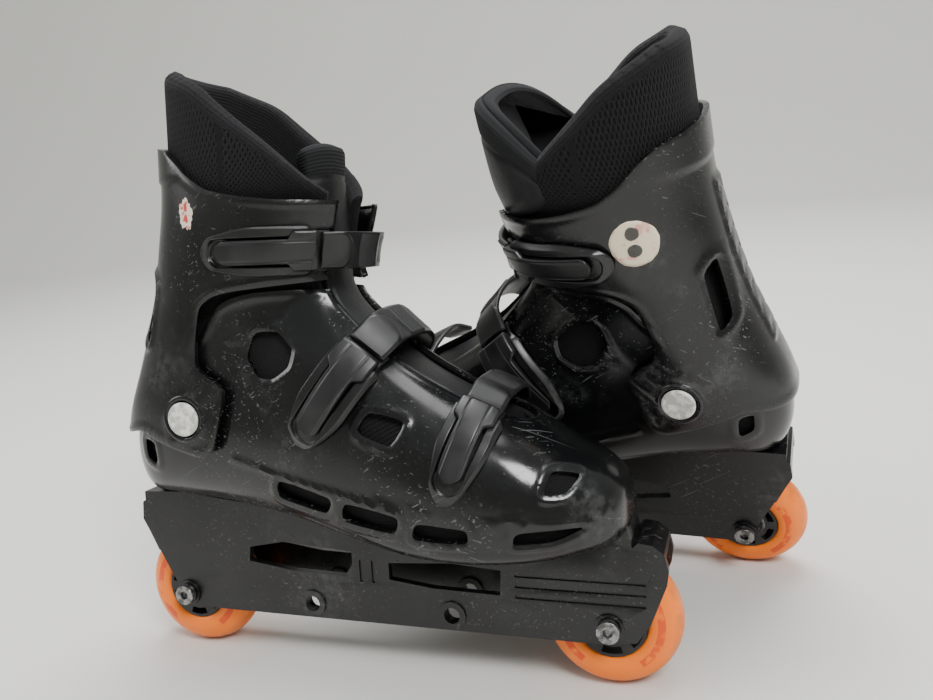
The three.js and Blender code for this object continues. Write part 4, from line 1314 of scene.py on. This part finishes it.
@dataclass
class Boot:
    """The hard shell, its cuff and what is inside them.

    Sizes are millimetres, tongue_turn is degrees and the rows are the form's.
    """

    lip: float = 0.8
    seat_radius: float = 9.6
    side_from: float = 15
    slot_row: float = 3.75
    liner_slot_row: float = 3.9
    row_mm: float = 30
    rim_roll: float = 6.5
    tongue_turn: float = 25
    tongue_row: float = 4.1
    tongue_roll: float = 4.5
    wing_in: float = 3
    outside: float = 99
    plans: dict[str, Blueprint] = field(default_factory=dict)

    def slot(self, y: Array, along: Array, angle: Array, half: float, row: float) -> Array:
        """Returns the distance to the opening over the instep, which has a half-round front end."""
        ahead = (along * (len(FORM.rows) - 1) - row) * self.row_mm
        distance = np.hypot(np.minimum(ahead - half, 0), y) - half
        return np.where(np.sin(angle) > 0, distance, self.outside)

    def shell_region(self, x: Array, y: Array, z: Array, along: Array, angle: Array) -> Array:
        """Returns the shell's distance: its side view, less the opening and the vents."""
        inside = region_distance(x, z, chaikin(LINES.shell))
        inside = np.maximum(inside, -self.slot(y, along, angle, WALLS.slot_half, self.slot_row))
        return np.maximum(inside, -self.vent_distance(x, y, z))

    def vent_distance(self, x: Array, y: Array, z: Array) -> Array:
        """Returns the distance to the nearest vent in the shell's sides."""
        vents = [chaikin(vent, 2, cut=0.13) for vent in LINES.vents]
        nearest = np.minimum.reduce([region_distance(x, z, vent) for vent in vents])
        return np.where(np.abs(y) > 17, nearest, self.outside)

    def shell_relief(self, x: Array, y: Array, z: Array, inside: Array) -> Array:
        """Returns the shell's raised lines: a lip round each vent, a step above the sole's vents
        and a rim along its edge."""
        lips = self.lip * bump(self.vent_distance(x, y, z) - 2.6, 1.3)
        step = line_distance(x, z, chaikin(LINES.sole_step, 2, False), False)
        line = 0.9 * bump(step, 1.3) * (np.abs(y) > self.side_from)
        rim = 0.5 * bump(inside - 2.5, 1.4)
        return np.maximum(np.maximum(lips, line), rim)

    def cuff_region(self, x: Array, y: Array, z: Array, along: Array, angle: Array) -> Array:
        """Returns the cuff's distance: its side view, less the front gap, the slot and the seat."""
        inside = region_distance(x, z, chaikin(LINES.cuff, 2, cut=0.16))
        front = np.where(x > 95, WALLS.cuff_front_half - np.abs(y), -self.outside)
        slot = np.where(np.abs(y) > self.side_from, -self.cuff_slot(x, z), -self.outside)
        seat = self.seat_radius - np.hypot(x - LINES.pivot[0], z - LINES.pivot[1])
        return np.maximum.reduce([inside, front, slot, seat])

    @staticmethod
    def cuff_slot(x: Array, z: Array) -> Array:
        """Returns the distance to the slot behind the cuff's side."""
        return region_distance(x, z, chaikin(LINES.cuff_slot, 2, cut=0.1))

    def cuff_relief(self, x: Array, y: Array, z: Array, inside: Array) -> Array:
        """Returns the cuff's raised parts: the edge's lip, the slot's lip, the band at the top of
        the back and a ribbed spine down it."""
        lip = 0.6 * bump(inside - 2.4, 1.3)
        slot = 1.3 * bump(self.cuff_slot(x, z) - 2.8, 1.7) * (np.abs(y) > 12)
        back = smooth(x, 46, 30)
        band = 1.1 * smooth(z, 262, 264.5) * back
        across = np.abs(y)
        tall = smooth(z, 160, 163) * smooth(z, 252, 249)
        spine = 1.5 * smooth(across, 10, 8) * tall * smooth(x, 60, 50)
        wave = np.abs(np.mod(z + 0.7 * across, 11) - 5.5)
        chevrons = 0.9 * bump(wave, 1.0) * (spine > 1)
        return np.maximum.reduce([lip, slot, band, spine - chevrons])

    def liner_region(self, x: Array, y: Array, z: Array, along: Array, angle: Array) -> Array:
        """Returns the liner's distance: below the collar's line, less the tongue's opening."""
        inside = region_distance(x, z, chaikin(LINES.collar, 2))
        opening = self.slot(y, along, angle, WALLS.tongue_half + 0.7, self.liner_slot_row)
        toe = (FORM.place(1.2) - along) * FORM.run
        return np.maximum.reduce([inside, -opening, toe])

    def liner(self) -> Blueprint:
        """Makes the padded liner, thick round the collar and thin inside the shell."""
        along = np.linspace(0, 1, 90)
        collar = smooth(along, FORM.place(15.6), FORM.place(17))
        outer = mix(WALLS.liner_out, WALLS.cuff_gap - 0.65, collar)
        depth = mix(WALLS.liner, WALLS.padding, collar)
        floor = mix(outer - WALLS.floor_gap, outer, smooth(along, FORM.place(9), FORM.place(12)))
        sheet = FormSheet(230, 150, self.liner_region)
        return sheet.pad(outer, outer - depth, floor, floor - depth, self.rim_roll)

    def tongue(self, stance: Stance) -> Blueprint:
        """Makes the tongue: a slab that follows the form's front, with round sides and ends and a
        thicker knit roll along its top.

        Args:
            stance: the skate, which says how far the tongue is pulled and flared.
        """
        start, end = FORM.place(self.tongue_row), FORM.place(stance.tongue_top)
        along = FORM.even_places(start, end, 190)[:, None]
        free = smooth(along, FORM.place(12), end)
        spread = smooth(along, FORM.place(15.2), FORM.place(17.2))
        turn = np.radians(mix(self.tongue_turn, stance.tongue_flare, spread))
        wide, high = rounded_profile(61, 0.08, 0.9, 61)
        front_line = FORM.surface(along, np.pi / 2 + 0 * along, 0)[:, 0]
        steps = np.linalg.norm(np.diff(front_line, axis=0), axis=1)
        length = np.append(0, np.cumsum(steps))[:, None]
        rise = length[-1] - length
        deep = np.clip(np.minimum(rise, length) / self.tongue_roll, 0, 1)
        closing = np.sqrt(np.clip(1 - (1 - deep) ** 2, 0.0004, 1))
        roll = 3.2 * bump(rise - self.tongue_roll, 4)
        thick = WALLS.tongue + 2 * smooth(along, FORM.place(16), end) + roll
        angle = np.pi / 2 - turn * wide * mix(0.96, 1, closing)
        wing = np.abs(wide) ** 2 * spread
        pull = free * stance.tongue_pull
        middle = WALLS.liner_out - 0.8 + pull - thick / 2 - self.wing_in * wing
        crease = 0.8 * bump(rise - 17, 1.4) + 0.8 * bump(np.abs(wide) - 0.8, 0.05) * (rise > 24)
        grow = middle + thick / 2 * closing * high - crease * (high == 1)
        drop = (end - FORM.place(17.1)) * np.abs(wide) ** 3 * smooth(along, FORM.place(15), end)
        grid = FORM.surface(along - drop, angle, grow, 0 * grow)
        front = np.broadcast_to(high > 0.6, angle.shape).astype(float)
        return tube(grid, rise=np.broadcast_to(rise, angle.shape), front=front)

    def decal(
        self, centre: tuple[float, float], radii: tuple[float, float], flakes: float
    ) -> Blueprint:
        """Makes a thin patch on the cuff's outer side.

        Args:
            centre: its middle in the side view.
            radii: half its length and height.
            flakes: how ragged its edge is, as a share of its radius.
        """
        rings, around = 9, 96
        share = np.linspace(0, 1, rings)[:, None]
        turn = np.arange(around) * 2 * np.pi / around
        wave = 0.5 * np.sin(5 * turn + 1) + 0.3 * np.sin(11 * turn) + 0.2 * np.sin(17 * turn + 2)
        ragged = 1 + flakes * wave
        x = centre[0] + radii[0] * share * np.cos(turn) * ragged
        z = centre[1] + radii[1] * share * np.sin(turn) * ragged
        y = FORM.half_width(x, z, WALLS.cuff_out) + 0.22
        grid = np.stack([x, y, z], -1)[:, ::-1]
        faces = [tuple(f) for f in grid_faces(rings, around, True)]
        u, v = (share * np.cos(turn))[:, ::-1].ravel(), (share * np.sin(turn))[:, ::-1].ravel()
        return Blueprint(grid.reshape(-1, 3), faces, {"u": u, "v": v})

    @staticmethod
    def pivot_face() -> float:
        """Returns how far from the boot's middle the cuff's face lies at the pivot."""
        x, z = LINES.pivot
        return float(FORM.half_width(np.array([x]), np.array([z]), WALLS.cuff_out)[0])

    def rivet(self, side: int) -> Blueprint:
        """Makes the cuff's pivot rivet: a dished cap, a shank and its inner end.

        Args:
            side: 1 for the outer side of the boot, -1 for the inner.
        """
        face = self.pivot_face()
        wall = face - WALLS.cuff_out - WALLS.shell + 0.4
        cap = face + WALLS.gap
        profile = np.array([
            (2.5, cap + 1.35), (5.5, cap + 1.5), (7.6, cap + 1.8), (8.5, cap + 1.75),
            (8.95, cap + 1.3), (9, cap + 0.5), (8.9, cap), (5, cap), (5, wall), (2, wall),
        ])
        return self.turned(profile, side, False)

    def pivot_ring(self, side: int) -> Blueprint:
        """Makes the raised ring round a pivot rivet, on the outer (1) or inner (-1) side."""
        face = self.pivot_face()
        turn = np.radians(np.arange(0, 361, 30))
        top = np.stack([11.2 + 1.6 * np.cos(turn[:7]), face + 1.1 * np.sin(turn[:7])], -1)
        profile = np.vstack([top, [(self.seat_radius, face - 3), (12.8, face - 3)]])
        return self.turned(profile, side, True)

    @staticmethod
    def turned(profile: Array, side: int, ring: bool) -> Blueprint:
        """Turns a profile about the pivot, mirrored for the inner side."""
        plan = lathe(profile, 48, (LINES.pivot[0], 0, LINES.pivot[1]), ring)
        return plan.mirrored() if side < 0 else plan

    def plan(self) -> None:
        """Works out the meshes that both boots share."""
        shell = FormSheet(300, 200, self.shell_region, end=0.92)
        cuff = FormSheet(230, 190, self.cuff_region, start=0.33)
        self.plans["shell"] = shell.skin(0, self.shell_relief)
        self.plans["cuff"] = cuff.skin(WALLS.cuff_out, self.cuff_relief)
        self.plans["liner"] = self.liner()

    def build(self, shop: Workshop) -> None:
        """Builds one skate's boot.

        Args:
            shop: the skate's workshop.
        """
        stance, look = shop.stance, FINISHES
        for name, body, finish, wall in (
            ("shell", "skate", look.shell, WALLS.shell),
            ("cuff", "cuff_body", look.cuff, WALLS.cuff),
        ):
            plan = self.plans[name]
            shop.piece(
                f"{name}_moulding", plan, body, finish, "shell", name, wall=wall - 0.2, bevel=0.45
            )
        for name, plan, finish, low, high in (
            ("liner", self.plans["liner"], look.liner, (25, 0, 150), (45, 0, 250)),
            ("tongue", self.tongue(stance), look.tongue, (108, 0, 200), (116, 0, 262)),
        ):
            made = shop.piece(f"padded_{name}", plan, "", finish, "fabric", name)
            ends = [tuple(end) for end in stance.to_row(np.array([low, high]))]
            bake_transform(made)
        for name, side in (("outer", 1), ("inner", -1)):
            node = f"pivot_{name}"
            shop.piece(f"{node}_rivet", self.rivet(side), "skate", look.rivet, "steel", node)
            shop.piece(f"{node}_ring", self.pivot_ring(side), "cuff_body", look.cuff, "shell")
        if stance.side is Side.LEFT:
            name, finish = "round", look.round_sticker
            plan = self.decal((41, 234.5), (11.8, 11.8), 0.02)
        else:
            name, finish = "small", look.small_sticker
            plan = self.decal((43, 245.5), (4.4, 7.5), 0.16)
        shop.piece(f"{name}_sticker", plan, "cuff_body", finish, "shell", wall=0.12)


# ---------------------------------------------------------------- buckles


@dataclass
class Buckles:
    """The three buckles: a base, a long lever and a ribbed strap each.

    Ends that are given from a belt's tip or hinge are degrees of the belt, the rest millimetres.
    """

    gap: float = 0.35
    base_thick: float = 2.4
    strap_thick: float = 2.4
    lever_thick: float = 5.5
    lever_share: float = 0.6
    rail_height: float = 3.4
    base_past_tip: float = 5
    lever_from_tip: float = 8
    side_play: float = 0.8
    barrel_chamfer: float = 0.5
    plans: dict[str, Blueprint] = field(default_factory=dict)

    @property
    def strap_lift(self) -> float:
        """How far a strap stands off the form."""
        return 3 * self.gap + self.base_thick

    @property
    def lever_lift(self) -> float:
        """How far a lever stands off the form."""
        return self.strap_lift + 2 * self.gap

    @staticmethod
    def round_end(degrees: Array, start: float, run: float) -> Array:
        """Returns a half round that widens from start over run degrees."""
        deep = np.clip((degrees - start) / run, 0, 1)
        return np.sqrt(np.clip(1 - (1 - deep) ** 2, 0.01, 1))

    def base(self, belt: Belt) -> Blueprint:
        """Makes the leaf-shaped base that holds a lever between its cheeks."""
        start = belt.tip - self.base_past_tip
        degrees = np.linspace(start, belt.hinge + 9, 120)
        leaf = smooth(degrees, belt.tip - 8, belt.tip + 30)
        leaf_half = mix(belt.nose_width / 2, belt.width / 2 + 2.4, leaf)
        half = leaf_half * self.round_end(degrees, start - 0.05, 10)
        narrow = mix(1, 0.8, smooth(degrees, belt.hinge - 4, belt.hinge + 3))
        level = np.full_like(degrees, 2 * self.gap)
        thick = mix(1.6, self.base_thick, smooth(degrees, belt.tip - 6, belt.tip + 6))

        def rails(angle: Array, aside: Array) -> Array:
            """Cheeks that rise on both sides of the lever and meet round its nose."""
            nose = np.maximum(belt.tip + 9 - angle, 0) * 0.9
            beside = np.hypot(nose, aside) - belt.width / 2 * self.lever_share - 0.5
            back = smooth(angle, belt.hinge + 1, belt.hinge - 3)
            growing = smooth(angle, start, start + 12)
            return self.rail_height * smooth(beside, 0, 0.7) * back * growing

        return belt.strip(degrees, level, thick, half * narrow, 61, rails)

    def lever(self, belt: Belt) -> Blueprint:
        """Makes a lever: a round-nosed tongue that lies in its base and widens over its barrel."""
        start = belt.tip + self.lever_from_tip
        degrees = np.linspace(start, belt.hinge, 150)
        wing = smooth(degrees, belt.hinge - 13, belt.hinge - 9)
        nose = self.round_end(degrees, start - 0.05, 7)
        half = belt.width / 2 * mix(self.lever_share, 0.97, wing) * nose
        thick = mix(2.2, self.lever_thick, smooth(degrees, start, belt.hinge))

        def groove(angle: Array, aside: Array) -> Array:
            """A low crown with a line along each side."""
            edge = np.abs(aside) - belt.width * 0.5 * (self.lever_share - 0.13)
            return 0.6 * (1 - (aside / belt.width * 2) ** 2) - 0.5 * bump(edge, 0.5)

        arm = belt.strip(degrees, np.full_like(degrees, self.lever_lift), thick, half, 41, groove)
        return arm.joined(self.barrel(belt))

    def barrel(self, belt: Belt) -> Blueprint:
        """Makes the barrel that a lever turns on, a closed cylinder across the belt."""
        angle = np.array([belt.hinge])
        out = belt.outward(angle)[0]
        ahead = np.cross(belt.widthways, out)
        centre = belt.points(angle, np.zeros(1))[0] + out * (self.lever_lift + self.lever_thick / 2)
        turn = np.arange(24) * 2 * np.pi / 24
        chamfer = self.barrel_chamfer
        radius = self.lever_thick / 2 - 0.5
        half = belt.width / 2 - self.side_play
        ends = np.array([-half, chamfer - half, half - chamfer, half])[:, None, None]
        sizes = np.array([radius - chamfer, radius, radius, radius - chamfer])[:, None, None]
        ring = np.cos(turn)[:, None] * out - np.sin(turn)[:, None] * ahead
        grid = centre + ends * belt.widthways + sizes * ring
        return tube(grid[::-1])

    def strap(self, belt: Belt) -> Blueprint:
        """Makes a strap: a half-round pad next to the lever, then ribs where it bends."""
        start = belt.hinge + 4.5
        degrees = np.linspace(start, belt.strap_end, 260)
        bridge = smooth(degrees, belt.strap_end - 4, belt.strap_end - 25)
        low = self.strap_lift + belt.arch * smooth(degrees, start, start + 14) * bridge
        strap_half = belt.width / 2 - self.side_play
        half = strap_half * self.round_end(belt.strap_end - degrees, -0.05, 5)
        mm_a_degree = 0.95

        def ridges(angle: Array, aside: Array) -> Array:
            """The pad's plateau, the ribs and the fine teeth beyond them."""
            beyond = np.maximum(angle - start - 7, 0) * mm_a_degree
            pad = 1.2 * smooth(strap_half - np.hypot(beyond, aside), -0.4, 0.5)
            ribs = 0.8 * np.sin((angle - start) * np.pi / 1.15) ** 2
            window = smooth(angle, start + 22, start + 23) * smooth(angle, start + 41, start + 40)
            teeth = 0.45 * np.mod((angle - start) / 2.3, 1) * smooth(angle, start + 44, start + 45)
            inner = smooth(np.abs(aside), belt.width / 2 - 2.6, belt.width / 2 - 3.2)
            return np.maximum.reduce([pad, ribs * window, teeth * inner])

        return belt.strip(degrees, low, np.full_like(degrees, self.strap_thick), half, 21, ridges)

    def anchor(self, belt: Belt) -> Blueprint:
        """Makes the pad that holds the cuff strap's far end."""
        degrees = np.linspace(belt.strap_end - 8, belt.anchor, 30)
        half = belt.width / 2 * self.round_end(belt.anchor - degrees, -0.05, 4)
        low = np.full_like(degrees, self.gap)
        return belt.strip(degrees, low, np.full_like(degrees, self.base_thick - self.gap), half)

    def rivet(self, belt: Belt) -> Blueprint:
        """Makes the bright rivet at the strap's far end."""
        angle = np.array([belt.strap_end - 4.5])
        out = belt.outward(angle)[0]
        lift = self.strap_lift + self.strap_thick
        centre = belt.points(angle, np.zeros(1))[0] + out * lift
        return dome(centre, out, belt.widthways, 2.2, 0.9)

    def plan(self) -> None:
        """Works out the meshes that both skates share."""
        for belt in BELTS:
            self.plans[f"{belt.name}_base"] = self.base(belt)
            self.plans[f"{belt.name}_lever"] = self.lever(belt)
            self.plans[f"{belt.name}_strap"] = self.strap(belt)
            self.plans[f"{belt.name}_rivet"] = self.rivet(belt)
        self.plans["anchor"] = self.anchor(BELTS[0])

    def build(self, shop: Workshop) -> None:
        """Builds one skate's buckles.

        Args:
            shop: the skate's workshop.
        """
        look = FINISHES
        for belt in BELTS:
            name = belt.name
            lever_body = f"{name}_lever"
            if f"{shop.stance.name}_{lever_body}" not in frame["bodies"]:
                lever_body = belt.body
            for plan, piece, body, finish, node in (
                ("base", "base_plate", belt.body, look.base, f"{name}_buckle_base"),
                ("lever", "lever_arm", lever_body, look.buckle, f"{name}_buckle_lever"),
                ("strap", "strap_band", belt.body, look.strap, f"{name}_strap"),
            ):
                made = self.plans[f"{name}_{plan}"]
                shop.piece(f"{name}_{piece}", made, body, finish, "buckle", node)
            head = self.plans[f"{name}_rivet"]
            shop.piece(f"{name}_rivet_heads", head, belt.body, look.steel, "steel")
        pad = self.plans["anchor"]
        shop.piece("cuff_anchor_pad", pad, "cuff_body", look.buckle, "buckle", "cuff_strap_anchor")


# ---------------------------------------------------------------- frame and wheels


@dataclass
class Chassis:
    """The wheel frame, its bolts and axles, and the two wheels."""

    wheel_radius: float = 34.5
    tyre_half: float = 12
    hub_radius: float = 18
    axles: tuple[tuple[str, float], ...] = (("rear", 0), ("front", 240))

    def tyre(self, x: float) -> Blueprint:
        """Turns the tyre: a round crown on straight sides."""
        rim = self.hub_radius + 0.35
        turn = np.radians(np.linspace(-90, 90, 29))
        radius = self.wheel_radius - self.tyre_half + self.tyre_half * np.cos(turn)
        y = self.tyre_half * np.sin(turn)
        crown = np.stack([radius, y], -1)
        face = -self.tyre_half
        sides = [(rim, face + 1), (rim + 1.5, face + 0.4), (rim + 3, face)]
        opposite = [(r, -aside) for r, aside in sides[::-1]]
        profile = np.vstack([sides, crown, opposite])[::-1]
        return lathe(profile, 112, (x, 0, AXLE_HEIGHT), True)

    def bearing(self, x: float, side: int) -> Blueprint:
        """Turns a bearing: two races with a sunken seal between, on the outer (1) or inner (-1)
        side of the wheel at x."""
        face, depth = self.tyre_half - 0.5, 7
        profile = np.array([
            (4.35, face), (5.6, face), (5.8, face - 0.5), (9.2, face - 0.5), (9.4, face),
            (10.7, face), (11, face - 0.3), (11, face - depth), (4.35, face - depth),
        ])
        plan = lathe(profile, 40, (x, 0, AXLE_HEIGHT), True)
        return plan.mirrored() if side < 0 else plan

    def build(self, shop: Workshop) -> None:
        """Builds one skate's frame and wheels.

        Args:
            shop: the skate's workshop.
        """
        look = FINISHES
        shop.copy_of("frame", "wheel_frame", "skate", look.frame, 0.55)
        for name, x in self.axles:
            wheel = f"{name}_wheel"
            shop.piece(f"{name}_tread", self.tyre(x), wheel, look.tyre, "tyre", f"{name}_tyre")
            shop.copy_of(f"{name}_hub", f"{name}_core", wheel, look.hub, 0.4)
            for where, side in (("outer", 1), ("inner", -1)):
                node, race = f"{name}_bearing_{where}", self.bearing(x, side)
                shop.piece(f"{name}_race_{where}", race, wheel, look.seal, "steel", node)
            for node, piece, bevel in (("axle", "axle_bolt", 0.4), ("frame_bolt", "sole_bolt", 0.3)):
                made = f"{name}_{piece}"
                shop.copy_of(f"{name}_{node}", made, "skate", look.steel, bevel)
        shop.copy_of("footbed", "insole", "skate", look.footbed, 0.8)


# ---------------------------------------------------------------- studio


@dataclass
class Studio:
    """The camera, the floor and the lights. Offsets are metres and the lens is millimetres."""

    lens: float = 31.17
    sensor: float = 36
    camera_from_wheel: Triple = (0.29868, -0.36168, 0.23330)
    gaze: Triple = (-0.31145, 0.91909, -0.24141)
    upright: Triple = (0.01929, 0.26011, 0.96539)
    floor_colour: Triple = (0.66, 0.655, 0.62)

    def camera(self, stance: Stance) -> None:
        """Places the camera by its offset from the right skate's rear wheel.

        Args:
            stance: the right skate's stance.
        """
        data = bpy.data.cameras.new("camera")
        data.lens, data.sensor_width = self.lens, self.sensor
        made = bpy.data.objects.new("camera", data)
        bpy.context.collection.objects.link(made)
        gaze, up = Vector(self.gaze).normalized(), Vector(self.upright).normalized()
        across = gaze.cross(up).normalized()
        up = across.cross(gaze)
        spot = stance.centre() + self.camera_from_wheel
        turned = Matrix((across, up, -gaze)).transposed().to_4x4()
        made.matrix_world = Matrix.Translation(spot) @ turned
        bpy.context.scene.camera = made

    def floor(self) -> None:
        """Lays a pale round floor that sweeps up at its rim, with a faint grain.

        The section is flat up to the bend, then r = start + bend sin t, z = bend (1 - cos t), then
        upright, and is turned about the z axis.
        """
        sides, inner, start, bend, top = 128, 0.8, 2.4, 1.6, 2.2
        turn = np.linspace(0, np.pi / 2, 24)
        curve = np.stack([start + bend * np.sin(turn), bend * (1 - np.cos(turn))], -1)
        section = np.vstack([[(inner, 0)], curve, [(start + bend, top)]])
        around = np.arange(sides) * 2 * np.pi / sides
        reach, height = section[:, :1], section[:, 1:]
        grid = np.stack([reach * np.cos(around), reach * np.sin(around), height + 0 * around], -1)
        mesh = bpy.data.meshes.new("floor")
        faces = [tuple(f) for f in grid_faces(len(section), sides, True)]
        mesh.from_pydata(grid.reshape(-1, 3), [], [*faces, tuple(reversed(range(sides)))])
        mesh.polygons.foreach_set("use_smooth", [True] * len(mesh.polygons))
        g = Graph("pale_floor")
        pale = tuple(c * 1.05 for c in self.floor_colour)
        g.colour(g.blend(g.noise(500, 3), self.floor_colour, pale))
        g.shader.inputs["Roughness"].default_value = 0.9
        mesh.materials.append(g.material)
        made = bpy.data.objects.new("floor", mesh)
        bpy.context.collection.objects.link(made)

    def lights(self) -> None:
        """Hangs four soft panels and a pale sky: each panel's place, aim, watts and width."""
        panels = (
            ((0.75, -0.75, 1.25), (0.0, 0.0, 0.12), 22, 0.5),
            ((-1.3, -0.5, 0.9), (0.0, 0.0, 0.12), 9, 0.7),
            ((0.0, 0.35, 1.5), (0.0, 0.0, 0.15), 20, 1.0),
            ((0.0, 1.1, 2.2), (0.0, 2.8, 0.5), 60, 1.8),
        )
        for number, (place, aim, power, size) in enumerate(panels):
            data = bpy.data.lights.new(f"panel_{number}", "AREA")
            data.energy, data.size = power, size
            made = bpy.data.objects.new(f"panel_{number}", data)
            made.location = place
            made.rotation_euler = (Vector(aim) - Vector(place)).to_track_quat("-Z", "Y").to_euler()
            bpy.context.collection.objects.link(made)
        world = bpy.data.worlds.new("sky")
        world.use_nodes = True
        sky = world.node_tree.nodes["Background"]
        sky.inputs["Color"].default_value = (0.8, 0.81, 0.8, 1)
        sky.inputs["Strength"].default_value = 0.6
        bpy.context.scene.world = world


def main() -> None:
    """Builds both skates, part by part, and the studio round them."""
    logging.basicConfig(level=logging.INFO, format="%(name)s: %(message)s")
    studio = Studio()
    studio.camera(STANCES[0])
    boot, buckles, chassis = Boot(), Buckles(), Chassis()
    boot.plan()
    buckles.plan()
    for stance in STANCES:
        shop = Workshop(stance)
        chassis.build(shop)
        boot.build(shop)
        buckles.build(shop)
        LOG.info("%s skate finished", stance.name)
    studio.floor()
    studio.lights()


if __name__ == "__main__":
    main()
